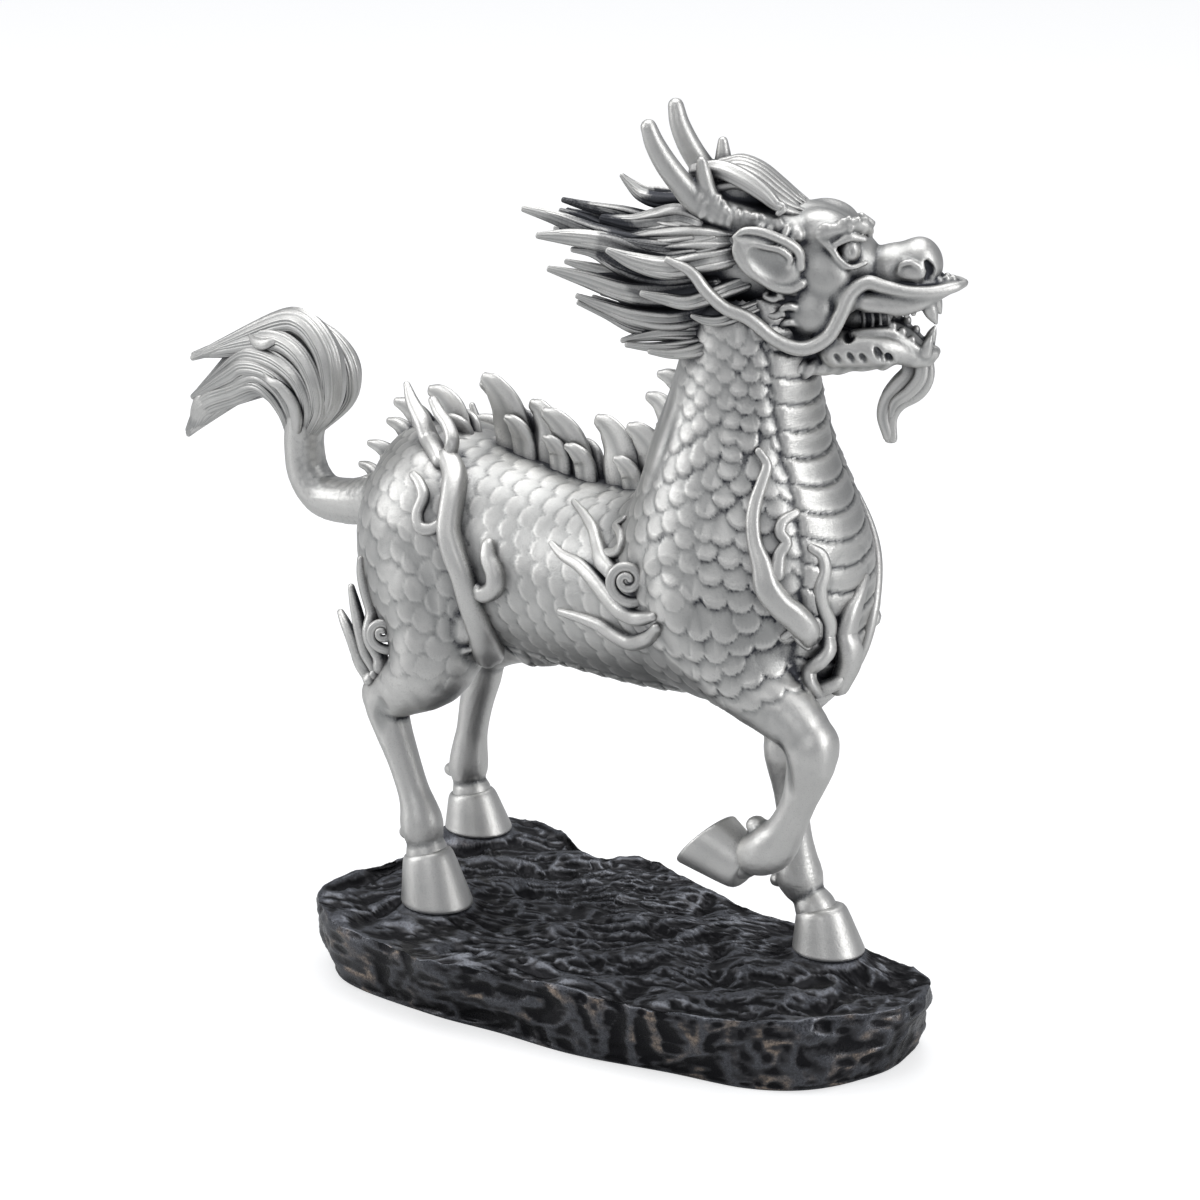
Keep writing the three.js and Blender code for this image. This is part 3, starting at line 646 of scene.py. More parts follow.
def boldness(points):
    """How far the scales stand out: most on neck and shoulder, less on the barrel, least on the tail."""
    x, _, z = points.T
    return 0.42 + 0.17 * np.maximum(ramp(x, 14, 10), ramp(z, NECK_FROM, 8)) - 0.21 * ramp(x, TAIL_FROM, -10)


def bare_mask(points):
    """1 where the skin has no scales: shins, hooves, the tail's stalk and beneath the thighs."""
    x, y, z = points.T
    hind = (x < -22) * ramp(z, 47.5, -2)
    fore = (x > 10) * ramp(z, 57, -2) * (y > -6)
    raised = (x > 10) * (y <= -6) * ramp(z - 0.25 * (x - 44), 60, -2)
    tail = ramp(x, TAIL_STALK, -2) + ramp(x, -76, -2) * ramp(z, 86, 2)
    return np.clip(hind + fore + raised + tail, 0, 1)


def grow_scales(clay, start):
    """Places of the scales, each beside and half behind the last, so that they lie in staggered rows."""
    start = np.array(start, float)
    placed, queue = [start], [start]
    near = {}

    def box_of(p):
        return tuple((p // SCALE_LENGTH).astype(int))

    def crowded(p, room):
        cx, cy, cz = box_of(p)
        for dx, dy, dz in np.ndindex(3, 3, 3):
            for q in near.get((cx + dx - 1, cy + dy - 1, cz + dz - 1), ()):
                if (q[0] - p[0]) ** 2 + (q[1] - p[1]) ** 2 + (q[2] - p[2]) ** 2 < room * room:
                    return True
        return False

    near.setdefault(box_of(start), []).append(start)
    while queue:
        wave = np.array(queue)
        out = clay.outward(wave)
        way = flow(wave, out)
        side = np.cross(out, way)
        pitch = pitch_at(wave)[:, None]
        queue = []
        for ahead, across in NEXT_SCALES:
            guess = wave + pitch * 0.98 * (ahead * way + across * side)
            for _ in range(2):
                guess = guess - clay.depth(guess)[:, None] * clay.outward(guess)
            bare = bare_mask(guess)
            room = NEAREST_SCALE * pitch_at(guess)
            for p, hidden, gap in zip(guess, bare, room):
                inside = SCALES_AHEAD[0] < p[0] < SCALES_AHEAD[1] and SCALES_UP[0] < p[2] < SCALES_UP[1]
                if hidden < 0.7 and inside and not crowded(p, gap):
                    placed.append(p)
                    queue.append(p)
                    near.setdefault(box_of(p), []).append(p)
    return np.array(placed)


def scale_relief(points, normals, clay, centres):
    """Height of the overlapping scales over each corner, and how near it lies to the edge of its scale."""
    tree = KDTree(len(points))
    for i, p in enumerate(points):
        tree.insert(p, i)
    tree.balance()
    out = clay.outward(centres)
    ways = flow(centres, out)
    sides = np.cross(out, ways)
    sizes = pitch_at(centres)
    jitter = DRAW.uniform(-SCALE_UNEVEN, SCALE_UNEVEN, (len(centres), 3))
    height, rim_gap = np.full(len(points), -SCALE_LIFT), np.ones(len(points))
    for c, n, way, side, size, (tip, swing, wide) in zip(centres, out, ways, sides, sizes, jitter):
        found = tree.find_range(c, size * 1.2)
        who = np.array([i for _, i, _ in found])
        if not len(who):
            continue
        who = who[(normals[who] @ n) > 0.3]
        gap = points[who] - c
        u = gap @ way
        v = gap @ side + swing * u
        half_width = size * (SCALE_HALF_WIDTH + wide * 0.4)
        reach = size * (SCALE_REACH + tip * 0.5)
        ahead = np.maximum(u, 0) / reach
        behind = np.maximum(-u, 0) / size
        across = np.abs(v) / half_width
        shape = (across ** 2.4 + ahead ** 2.2 + behind ** 2.4) ** (1 / 2.3)
        inner = (1 - shape) * half_width
        plate = SCALE_LIFT * (0.9 * u / reach + 0.55 * (1 - across ** 2) - 0.15)
        rim = 0.10 * np.exp(-((inner - 0.45) / 0.35) ** 2) * (u > 0)
        edge = np.clip(inner / 0.6, -3, 1)
        local = plate + rim - SCALE_LIFT * 1.35 * (1 - edge)
        higher = local > height[who]
        height[who[higher]] = local[higher]
        rim_gap[who[higher]] = inner[higher]
    return height, np.exp(-(rim_gap / SEAM_HALF_WIDTH) ** 2)


def plate_relief(points):
    """Height of the throat's and belly's broad plates, each rising towards the groove before the next."""
    arc = plate_run(points) - 0.022 * points[:, 1] ** 2
    share = (arc / PLATE_PITCH) % 1
    groove = np.exp(-(np.minimum(share, 1 - share) / 0.09) ** 2)
    return PLATE_HEIGHT * (0.6 + 0.5 * share ** 2 - 0.7 * groove)


def relief(clay, points, faces):
    """The body's skin with its scales and plates raised, and 1 along the seams between the scales."""
    normals = clay.outward(points, 0.6)
    centres = grow_scales(clay, FIRST_SCALE)
    bare = bare_mask(points)
    plates = plate_mask(points, normals)
    scales, seams = scale_relief(points, normals, clay, centres)
    nape = nape_mask(points)
    kept = (1 - bare) * (1 - nape) * np.clip(0.5 - plate_edge(points) * (points[:, 0] > CHEST_FRONT), 0, 1)
    plates = plates * (1 - bare)
    height = scales * boldness(points) * kept * (1 - plates) + plate_relief(points) * plates
    height -= 0.32 * seam_mask(points, normals)
    folds = 0.35 * noise(points * (1, 1, 0.12), 2.6, 4) * nape
    wrinkle = 0.10 * noise(points * (1, 1, 0.35), 2.2, 3) * bare * (points[:, 2] > 40)
    seams = seams * kept * (1 - plates) * np.clip((points[:, 0] + 66) / 12, 0.2, 1)
    return points + normals * (height + wrinkle + folds)[:, None], seams


# The head, in its own axes


BARBEL = [
    (43.8, 0.6, 9.1, 0.7), (42, 2.8, 8.9, 1), (38, 5, 8.6, 1.2), (33.5, 6.6, 9, 1.3), (29, 7.4, 10.2, 1.4),
    (25.5, 7.9, 11.2, 1.5), (22.6, 8.8, 9.4, 1.5), (20.6, 9.9, 5.5, 1.5), (17.8, 10.8, 1, 1.5),
    (13, 11.8, -1, 1.5), (8, 12.6, 1, 1.45), (3, 13.2, 5.4, 1.4), (-1.5, 13.6, 7.6, 1.35),
    (-5, 13.9, 11, 1.3), (-8, 13.9, 15, 1.15), (-12.6, 13.6, 17.4, 0.7),
]
HORN = [
    (11, 6.5, 21, 3.2), (4, 7, 23, 3.4), (-2.5, 7.6, 25, 3.3), (-7.2, 8.2, 28, 2.8),
    (-10.2, 8.8, 31.6, 2.45), (-12.8, 9.1, 35.4, 2.3), (-14.8, 9.4, 39.4, 2), (-15.8, 9.8, 42.8, 1.6),
]
HORN_PRONG = [
    (-4, 7.8, 26.5, 2.4), (-5, 8.2, 29.6, 1.95), (-5.5, 8.6, 32.8, 1.6), (-5.8, 8.8, 35.8, 1),
]
# The left horn's tip is further ahead than the right one's, and the left brow lower and further back.
LEFT_HORN_AHEAD = 2.2
LEFT_BROW_LOWER = 3
LEFT_BROW_BACK = 1.4
BROW = [
    (13.5, 7.6, 20.6, 0.8), (17, 8.2, 21.4, 1), (20.6, 8.1, 22.2, 1.2), (23.6, 7.1, 22.8, 1.4),
    (25.4, 5.8, 21.9, 1.3), (26, 4.4, 20.6, 0.8),
]
LID_BEHIND = [
    (17, 8.6, 20, 0.6), (19, 8.8, 18.2, 0.8), (20.4, 8.6, 16, 0.7), (22.6, 8.4, 14.4, 0.6),
    (25.4, 6.9, 15, 0.5),
]
UPPER_LID = [
    (20, 8.8, 19.2, 0.6), (22.6, 8.4, 20.4, 0.8), (25.2, 6.8, 19.6, 0.6),
]
LIP = [
    (22, 7.2, 7.8, 1.3), (25.5, 6.9, 7.1, 2.1), (29, 6.3, 6.5, 2.3), (32.5, 5.6, 6.3, 2.2),
    (36, 4.7, 6.9, 1.8), (38.6, 3.5, 7.7, 1.35), (41, 1.8, 8.5, 1),
]
JAW_WALL = [
    (19, 7.2, -2.4, 3.6), (26, 6.3, -2.6, 3.4), (30.2, 4.8, -3.2, 2.8), (33.4, 3.2, -5, 1.8),
]
JAW_RIM = [
    (22.6, 7, 0.6, 1), (26.5, 6.4, 0.9, 1), (29.8, 5.2, 0.5, 1), (33, 4.2, -2, 0.9), (35.8, 3, -4.4, 1),
    (37.6, 1, -5, 1.1),
]
EAR_UPPER_RIM = [
    (13, 10.2, 15, 1), (12.4, 11, 18.8, 1.1), (7, 12.6, 22.2, 1), (3, 13.4, 23, 0.8), (0.8, 13.7, 22, 0.4),
]
EAR_LOWER_RIM = [
    (13, 10, 11.6, 1.1), (10.6, 10.9, 10.8, 1.1), (7.2, 12.2, 12, 1), (3.6, 13.3, 15.6, 0.9),
    (1.9, 13.8, 19, 0.7), (0.8, 13.7, 21.8, 0.4),
]
EAR_SWIRL = [
    (10.8, 11.6, 15.4, 0.5), (11.2, 11.9, 17.3, 0.7), (9.4, 12.6, 19, 0.7), (6.4, 13.2, 19.8, 0.6),
    (3.4, 13.6, 20.6, 0.5),
]
EAR_PITCH, EAR_YAW = -37, 17
SKULL = [
    ((1, 0, 16.5), (13, 11.3, 12), 0, 0), ((-7, 0, 14.8), (12, 8.8, 12.4), 0, 4),
    ((11, 0, 5), (9, 10, 9.5), 0, 5), ((12, 0, 17), (11, 9, 8.8), 0, 4),
    ((17, 0, 15), (9, 7.6, 7.8), 0, 3),
]
MUZZLE = [(14, 0, 13, 9), (21, 0, 12.6, 6.6), (26, 0, 11.6, 4.9), (31, 0, 11.9, 5.4), (35, 0, 12.6, 4.6)]
CROWN = [((0, 0, 28.5), (8, 7, 5.2), -6, 2)]
FOREHEAD = [((16.8, 4.6, 20.4), (6.4, 4.4, 4.7), -10, 1)]
CHEEK = [
    ((17.4, 7.3, 12), (4.9, 3, 4.9), 0, 1.8), ((14.8, 8.2, 4.8), (4.6, 2.9, 4.8), 0, 1.8),
    ((21, 8, 7.6), (2.6, 2, 3), 0, 0.8),
]
EYE_SOCKET = [((23, 7.6, 17.3), (3.3, 2.5, 3.1), 0, 0.8)]
EYEBALL = [((22.3, 6.3, 17.4), (2.1, 2.3, 2.6), 0, 0)]
PUPIL = [((23, 8.7, 17.5), (0.6, 0.5, 1.1), 0, 0.2)]
TEMPLE_KNOB = [((12.4, 8.8, 21), (1.4, 1.3, 1.4), 0, 0.5)]
NOSE_TIP = [((35.2, 0, 14.2), (3.7, 4.5, 4.1), 0, 1.8)]
NOSE_WING = [((33.6, 3.9, 12.4), (3, 2, 2.5), 0, 1.2)]
NOSTRIL_RIM = [
    (31.4, 5.2, 12.6, 0.4), (32, 5.6, 14.1, 0.55), (33.8, 5.6, 14.7, 0.6), (35.4, 5.1, 13.7, 0.55),
    (35.9, 4.7, 11.8, 0.45),
]
NOSTRIL = [(36.9, 4, 14.2, 0.6), (37.5, 3.7, 12.6, 1), (37.1, 3.9, 11, 0.8)]
NOSE_CREASE = [(31.6, 5.2, 15.2, 0.3), (30.4, 5.7, 13.2, 0.4), (31, 6.1, 11.2, 0.4), (34, 5.7, 10.2, 0.35)]
# The upper lip, deepest over the mouth's corners and flared at its tip.
UPPER_LIP = [
    ((25, 0, 8.4), (8, 7, 3), 0, 1.6), ((33.5, 0, 8.2), (7.6, 5.4, 2.3), 0, 1.6),
    ((38.4, 0, 8.5), (4.6, 3.6, 1.5), 8, 1.2),
]
LOWER_JAW = [
    ((10, 0, -2), (11, 8.8, 5), 0, 3), ((20, 0, -3), (8, 7.6, 4.4), 0, 2),
    ((28, 0, -2.8), (6.4, 6.2, 3.8), 0, 2), ((33.8, 0, -5.2), (4.2, 4.6, 2.6), -18, 1.6),
]
# The mouth is open right through only in front of the flesh that joins the jaws.
MOUTH_OPENING = [((35.8, 0, 1.3), (6.9, 9, 3.4), -16, 0.6)]
MOUTH_SIDES = [((27, 8.4, 3), (4.6, 3.9, 2.1), 0, 0.5), ((21.8, 8.4, 2.6), (1.5, 4.6, 3.2), 0, 0.4)]
TONGUE_ROOT = [((23.4, 0, 3), (6.2, 4.8, 4), 0, 0.3)]
FLESH_STRANDS = (24.2, 25.9, 27.4, 29)
UPPER_FANG = [(36.9, 3.8, 6.2, 1.7), (37.6, 4, 4.2, 1.35), (38.5, 4, 2, 0.35)]
LOWER_FANG = [(36.1, 3.2, -4, 1.3), (36.7, 3.4, -2.2, 1), (37.4, 3.4, -0.6, 0.35)]
# Small teeth, and the knobs on the lip's tip: middle and radius.
SMALL_TEETH = [
    (30, 4.9, 1.7, 0.9), (31.8, 4.4, 0.4, 0.9), (33.6, 3.9, -1.4, 0.85), (32.8, 5.2, 4.2, 0.65),
    (34.2, 4.9, 4.4, 0.6), (30.9, 5.5, 4.1, 0.5),
]
TOOTH_STRETCH = 1.25
LIP_KNOBS = [(37.6, 2.4, 9.9, 0.7), (39, 1.6, 10.2, 0.8), (40.4, 0.8, 10.3, 0.75), (41.6, 0.2, 10.1, 0.7)]


def head_clay():
    """The head with its face, ears, horns, barbels and jaw hair."""
    clay = Clay((-24, -17, -15), (48, 17, 47), HEAD_CELL)
    press_skull(clay)
    for side in SIDES:
        press_cheek_and_eye(clay, side)
    press_nose(clay)
    press_mouth(clay)
    for side in SIDES:
        press_ear(clay, side)
    for side in SIDES:
        press_horn(clay, side)
    for side in SIDES:
        clay.limb(on_side(side, BARBEL), 0.9, steps=6)
    for side in SIDES:
        press_jaw_frill(clay, side)
    return clay


def press_skull(clay):
    clay.press_all(SKULL)
    clay.limb(MUZZLE, 2.5)
    clay.press_all(CROWN)
    for side in SIDES:
        clay.press_all(FOREHEAD, side)


def press_cheek_and_eye(clay, side):
    clay.press_all(CHEEK, side)
    clay.press_all(EYE_SOCKET, side, carve=True)
    clay.press_all(EYEBALL, side)
    clay.press_all(PUPIL, side, carve=True)
    clay.limb(on_side(side, LID_BEHIND), 0.7)
    clay.limb(on_side(side, UPPER_LID), 0.7)
    lower, back = (LEFT_BROW_LOWER, LEFT_BROW_BACK) if side == 1 else (0, 0)
    brow = [(x - back, side * y, z - lower, r) for x, y, z, r in BROW]
    clay.limb(brow, 1.2)
    # Coarse hairs stand along the brow.
    for x, y, z, radius in smooth_line(brow, 7)[6:]:
        ahead, aside, up = DRAW.uniform(-1, 1, 3) * (0.3, 0.7, 0.7) * radius
        size = DRAW.uniform(0.4, 0.75)
        place = (x + ahead, y + side * 0.3 + aside, z + 0.3 * radius + up)
        clay.press(egg(place, (size, size, 1.4 * size), pitch=-30), 0.3)
    clay.press_all(TEMPLE_KNOB, side)


def press_nose(clay):
    clay.press_all(NOSE_TIP)
    for side in SIDES:
        clay.press_all(NOSE_WING, side)
        clay.limb(on_side(side, NOSTRIL_RIM), 0.5)
        clay.limb(on_side(side, NOSTRIL), 0.4, carve=True)
        clay.limb(on_side(side, NOSE_CREASE), 0.8, carve=True)


def press_mouth(clay):
    clay.press_all(UPPER_LIP)
    clay.press_all(LOWER_JAW)
    for side in SIDES:
        clay.limb(on_side(side, LIP), 0.8)
        clay.limb(on_side(side, JAW_WALL), 1.2)
    clay.press_all(MOUTH_OPENING, carve=True)
    for side in SIDES:
        clay.press_all(MOUTH_SIDES, side, carve=True)
    clay.press_all(TONGUE_ROOT)
    for side in SIDES:
        press_teeth(clay, side)


def press_teeth(clay, side):
    """Flesh behind the teeth, the jaw's rim, small teeth, two fangs and the knobs on the lip's tip."""
    for x in FLESH_STRANDS:
        strand = [(x, 4.6, 5.2, 0.45), (x + 0.3, 4.9, 3, 0.4), (x, 4.6, 0.8, 0.45)]
        clay.limb(on_side(side, strand), 0.3)
    clay.limb(on_side(side, JAW_RIM), 0.8)
    for x, y, z, r in SMALL_TEETH:
        clay.press(egg((x, side * y, z), (r, r, TOOTH_STRETCH * r)), 0.2)
    clay.limb(on_side(side, UPPER_FANG), 0.3)
    clay.limb(on_side(side, LOWER_FANG), 0.3)
    for x, y, z, r in LIP_KNOBS:
        clay.press(egg((x, side * y, z), (r, r, r)), 0.3)


NODULES = 46
JAW_DENTS = 7
FRILL_LOCKS = 9
# Half the jaw's width at some places along it.
JAW_WIDTHS = (19, 26, 30.2), (10.6, 9.5, 7.4)
# Small curls of hair behind the cheek: place x, z, length, and how far the end turns down.
CHEEK_CURLS = [
    (11.4, 9.8, 2.6, 1.3), (8.8, 9, 3, -1.1), (11.8, 6.8, 2.8, 1.5), (8.9, 5.6, 3.2, -1.2),
    (11.6, 3.6, 2.6, 1.2), (8.4, 2.6, 2.8, 1.1),
]


def press_jaw_frill(clay, side):
    """Dents along the jaw, the ragged hair below it, and the curls behind the cheek."""
    for i in range(JAW_DENTS):
        x, slack = 15 + 2.5 * i, DRAW.uniform(-0.5, 0.5)
        y = side * (np.interp(x, *JAW_WIDTHS) + 0.6)
        clay.press(egg((x + slack, y, -3.7 + slack), (0.75, 1.3, 1.9 + slack), pitch=24), 0.5, carve=True)
    for i in range(FRILL_LOCKS):
        x, y, z = 30 - 2.5 * i, side * (5 + 0.45 * i), -5.6 - 0.1 * i
        drop, length = 1 + DRAW.uniform(-0.8, 0.8), 4.6 + DRAW.uniform(-1.6, 1.2)
        hair = [(x, y, z + 1.4, 0.8), (x - 1.2, y + side * 0.6, z + 0.1, 1.1),
                (x - 0.7 * length, y + side * 0.4, z - drop, 0.7), (x - length, y, z - drop, 0.25)]
        clay.limb(hair, 0.9)
    for x, z, length, turn in CHEEK_CURLS:
        y = side * (10.2 - 0.036 * (z - 6) ** 2)
        hair = [(x, y, z, 0.8), (x - 0.5 * length, y + side * 0.6, z + 0.3 * turn, 0.85),
                (x - length, y + side * 0.5, z - 0.2 * turn, 0.65),
                (x - 0.8 * length, y + side * 0.4, z - turn, 0.35)]
        clay.limb(hair, 0.4)


EAR_TIP = [(5.4, 12.6, 18.2, 2.5), (3, 13.3, 20.2, 1.4), (0.8, 13.7, 21.9, 0.4)]


def press_ear(clay, side):
    """A pointed ear with a rolled rim, hollow in front, and a swirl of cartilage in the hollow."""
    slant = {"pitch": EAR_PITCH, "yaw": -side * EAR_YAW}
    clay.press(egg((6.6, side * 12, 16.6), (7.6, 1.7, 4.6), **slant), 0.8)
    clay.limb(on_side(side, EAR_TIP), 0.6)
    clay.limb(on_side(side, EAR_UPPER_RIM), 0.3, steps=5)
    clay.limb(on_side(side, EAR_LOWER_RIM), 0.3, steps=5)
    clay.press(egg((7.4, side * 14.2, 16.4), (5.6, 1.9, 3.1), **slant), 0.5, carve=True)
    clay.limb(on_side(side, EAR_SWIRL), 0.3, steps=5)


def press_horn(clay, side):
    foot, tip = HORN[0][2], HORN[-1][2]
    ahead = LEFT_HORN_AHEAD if side == 1 else 0
    for stations in (HORN, HORN_PRONG):
        line = [(x + ahead * (z - foot) / (tip - foot), side * y, z, r) for x, y, z, r in stations]
        clay.limb(line, 1, steps=6)
    # Nodules of all sizes run from the horn's root along the temple.
    for i in range(NODULES):
        t, across = (i + DRAW.uniform(0, 1)) / NODULES, DRAW.uniform(-1, 1)
        x = 11.5 - 18 * t
        z = 20.6 + 6 * t + 2.7 * across * (0.7 + 0.5 * t)
        y = side * (8.6 + 1.1 * (1 - across ** 2) + 0.6 * t)
        size, stretch, pitch = DRAW.uniform(0.5, 1.05), DRAW.uniform(1, 1.7), DRAW.uniform(-50, 10)
        clay.press(egg((x, y, z), (size * 0.8, size, size * stretch), pitch), 0.45)


# The mane's locks: how far out each one lies, and its stations from root to tip, ahead, up and half width.
MANE = [
    (2, [(-10.5, 21.6, 2.2), (-16.8, 21.7, 2.2), (-23.1, 23.8, 1.5), (-29.5, 25.2, 1), (-34.9, 26.7, 0.5)]),
    (3.5, [(-12.9, 19.3, 1.8), (-19.8, 19.4, 1.8), (-26.1, 21.2, 1.2), (-31.2, 23.4, 0.9),
           (-35.2, 24.9, 0.5)]),
    (6, [(-7.5, 19.7, 2.4), (-16.3, 18.1, 2.6), (-26.4, 20.2, 2), (-35.3, 23.8, 1.3), (-42.2, 25.9, 0.6)]),
    (9, [(-7.2, 17.7, 2.1), (-17.2, 16.8, 2.3), (-25.3, 19.7, 1.8), (-32.3, 20.8, 1.5), (-39, 21.2, 0.6)]),
    (8, [(-7.3, 14.3, 2.2), (-16, 12.7, 2.2), (-22.9, 14.9, 1.7), (-28, 17.5, 1.1), (-32.4, 18.1, 0.5)]),
    (9, [(-3.4, 11.2, 2.3), (-12.1, 9.4, 2.4), (-20.9, 9.6, 2.1), (-29.7, 12.4, 1.5), (-37.1, 14.5, 0.6)]),
    (12.5, [(1.4, 17.7, 1.9), (-5.9, 16.4, 2.3), (-12.7, 15.4, 2.1), (-19.1, 16.7, 1.6), (-24.5, 19, 0.6)]),
    (13, [(2.1, 12, 1.8), (-3.3, 10.3, 1.6), (-8.9, 8.7, 1.4), (-13.9, 9.5, 1.1), (-18.1, 10.5, 0.6)]),
    (9.5, [(-3.4, 6.1, 2.2), (-12, 4, 2.2), (-20.1, 4.9, 1.8), (-26.5, 7.1, 1.1), (-31.6, 9.1, 0.5)]),
    (8, [(-6.1, 2.6, 2), (-13.5, 1.7, 1.9), (-20.4, 2.5, 1.5), (-26.1, 5.1, 1), (-31.7, 7.4, 0.5)]),
    (13, [(5.2, 7.4, 1.3), (1.1, 6.1, 1.4), (-2.5, 5, 1.1), (-5.7, 5.1, 0.9), (-8.2, 6, 0.5)]),
    (9, [(-2.2, 1.5, 2), (-8.3, 1.2, 1.9), (-13.9, 1.4, 1.5), (-18.9, 0.8, 1), (-23.1, -0.1, 0.5)]),
    (10, [(-2.1, -0.3, 1.8), (-6.9, -0.8, 1.8), (-11.8, -1.2, 1.4), (-16.9, -1.2, 0.9), (-22.1, -0.7, 0.5)]),
    (11, [(-1.9, 0.6, 1.5), (-6.1, -1.2, 1.5), (-9.8, -2, 1.2), (-13.6, -2.2, 0.9), (-17.4, -1.8, 0.5)]),
    (12, [(5.1, 2.7, 1.5), (2.3, 2, 1.6), (-0.4, 0.3, 1.5), (-2.6, -2, 1), (-4.4, -4.1, 0.5)]),
    (11, [(8.2, 1.2, 1.1), (6.6, 0.4, 1.2), (4.8, -0.9, 1), (2.9, -2.2, 0.7), (1, -3.5, 0.4)]),
    (9, [(-3.4, 20.3, 1.9), (-8.3, 18.8, 2), (-13.2, 18.4, 1.8), (-17.7, 19, 1.2), (-22.1, 20, 0.6)]),
    (6, [(-7.5, 9.4, 2.3), (-13.7, 6.4, 2.1), (-20, 6.5, 1.6), (-23.8, 8.2, 1), (-27.3, 8.8, 0.5)]),
]
# Locks beside the temple and the ear, which spread in their own way: ahead, sideways, up and half width.
TEMPLE_LOCKS = [
    [(2.4, 8.4, 20, 1), (-6, 8.6, 20.8, 2.5), (-15.5, 7, 19.6, 2.6), (-21, 6.4, 19, 2),
     (-27, 6, 19.6, 0.9)],
    [(-6.6, 6, 23.4, 1.5), (-11.4, 6.2, 24, 2.5), (-16, 5.2, 23, 2.4), (-21, 4.6, 22.4, 1.7),
     (-27, 4.2, 23.4, 0.8)],
]
# How far out the stations of a lock lie, in shares of the lock's own distance from the middle.
LOCK_SPREAD = (0.72, 0.9, 1, 1, 1)
MIDDLE_LOCKS = [
    (0, [(-11.3, 26.4, 2), (-15.8, 26.4, 2.4), (-19.3, 27.4, 1.9), (-21.8, 29.5, 1.1), (-23.3, 31.1, 0.5)]),
    (0, [(-9, 20, 4), (-18, 17, 4), (-26, 18, 3), (-32, 20, 1.6), (-36, 20.6, 0.6)]),
    (0, [(-9, 12, 4), (-17, 9, 4), (-24, 9, 3), (-29, 10, 1.6), (-33, 10.4, 0.6)]),
    (0, [(-8, 5, 4), (-14, 2, 4), (-19, 1.4, 2.6), (-23, 1, 1.4), (-26, 1.4, 0.6)]),
]
LEFT_LOCKS_LOWER = 3
# The locks lie on the skull between these; ahead of them stands the ear, and behind them they hang free.
SKULL_FRONT, SKULL_BACK = -1, -23
# Finer strands lying on a lock: how far to one side, and how much of its length each follows.
STRANDS = [(-0.5, 0.86), (0.55, 0.7)]


def spread_out(aside, stations):
    """A lock's stations with their sideways places, to a tenth of a millimetre."""
    return [(x, round(aside * share, 1), z, half) for (x, z, half), share in zip(stations, LOCK_SPREAD)]


def laid_on_skull(clay, line, side):
    """The line of a lock with whatever lies inside the skull brought out sideways to its skin."""
    line = line.copy()
    beside = np.clip((line[:, 0] - SKULL_BACK) / 3, 0, 1) * (line[:, 0] < SKULL_FRONT)
    for _ in range(8):
        deep = np.maximum(0.35 * line[:, 3] - clay.depth(line[:, :3]), 0)
        line[:, 1] += side * beside * np.minimum(deep, 1.5)
    line[:, 1] = eased(line[:, 1], 3)
    return line


def lock(clay, stations, side, lower, out):
    """A lock of the mane: a ribbed ribbon that thins to its tip, with two finer strands lying along it."""
    stations = [(x, side * y, z - lower, half, max(0.55 * half, 0.4)) for x, y, z, half in stations]
    line = laid_on_skull(clay, smooth_line(stations, 6), side)
    shapes = [sweep(line, out, ridged(10, 0.11), sides=30)]
    along = unit(np.gradient(line[:, :3], axis=0))
    wide = unit(np.cross(np.broadcast_to(out, along.shape), along))
    outward = unit(np.cross(along, wide))
    for edge, length in STRANDS:
        stop = int(len(line) * length)
        half, thick = line[:stop, 3], line[:stop, 4]
        aside, above = (edge * half)[:, None], (0.62 * thick)[:, None]
        place = line[:stop, :3] + wide[:stop] * aside + outward[:stop] * above
        size = half * 0.36 * np.sin(math.pi * np.linspace(0.25, 0.95, stop)) + 0.12
        shapes.append(sweep(np.column_stack([place, size, size]), out, ridged(4, 0.12), sides=12))
    return joined(shapes)


def mane(clay):
    shapes = [lock(clay, spread_out(*middle), 0, 0, (0, -0.5, 1)) for middle in MIDDLE_LOCKS]
    locks = [spread_out(*beside) for beside in MANE] + TEMPLE_LOCKS
    for side in SIDES:
        lower = LEFT_LOCKS_LOWER if side == 1 else 0
        shapes += [lock(clay, stations, side, lower, (0.1, side, 0.25)) for stations in locks]
    return joined(shapes)


ROLL_STRANDS = 11
ROLL_PITCH = 1.35
ROLL_SIDE_LOCK = [
    (-8, 4.6, 33, 1.5), (-3, 6, 33.6, 1.9), (2, 7.2, 31.8, 2), (6, 8, 29.2, 1.7), (8.4, 8.6, 27, 1.2),
    (9.8, 8.9, 26.4, 0.9), (8.8, 9.4, 25.4, 0.6),
]


def top_hair():
    """The roll of hair over the forehead, cut square behind, and the locks beside it."""
    shapes = []
    for i in range(ROLL_STRANDS):
        y = (i - ROLL_STRANDS // 2) * ROLL_PITCH
        drop = 0.075 * y * y
        wave = 0.5 * math.sin(2.1 * i)
        stations = [
            (-3 + wave, y, 33.6 - drop, 1.0), (0.6, y, 34.2 - drop, 1.15), (4.6, y * 1.02, 32.6 - drop, 1.15),
            (8, y, 29.8 - drop, 1.1), (10.4, y * 0.9, 27.6 - 0.7 * drop, 0.95),
            (12.6 + wave, y * 0.76, 25.8 - 0.4 * drop, 0.4),
        ]
        line = smooth_line([(*s, s[3] * 0.9) for s in stations], 4)
        shapes.append(sweep(line, (0.3, y * 0.09, 1), grooved(0.2, 0.4), sides=12))
    for side in SIDES:
        lower = LEFT_LOCKS_LOWER if side == 1 else 0
        line = smooth_line([(x, side * y, z - lower, r, r * 0.8) for x, y, z, r in ROLL_SIDE_LOCK], 5)
        shapes.append(sweep(line, (0, side, 1), ridged(6, 0.09), sides=24))
    return joined(shapes)


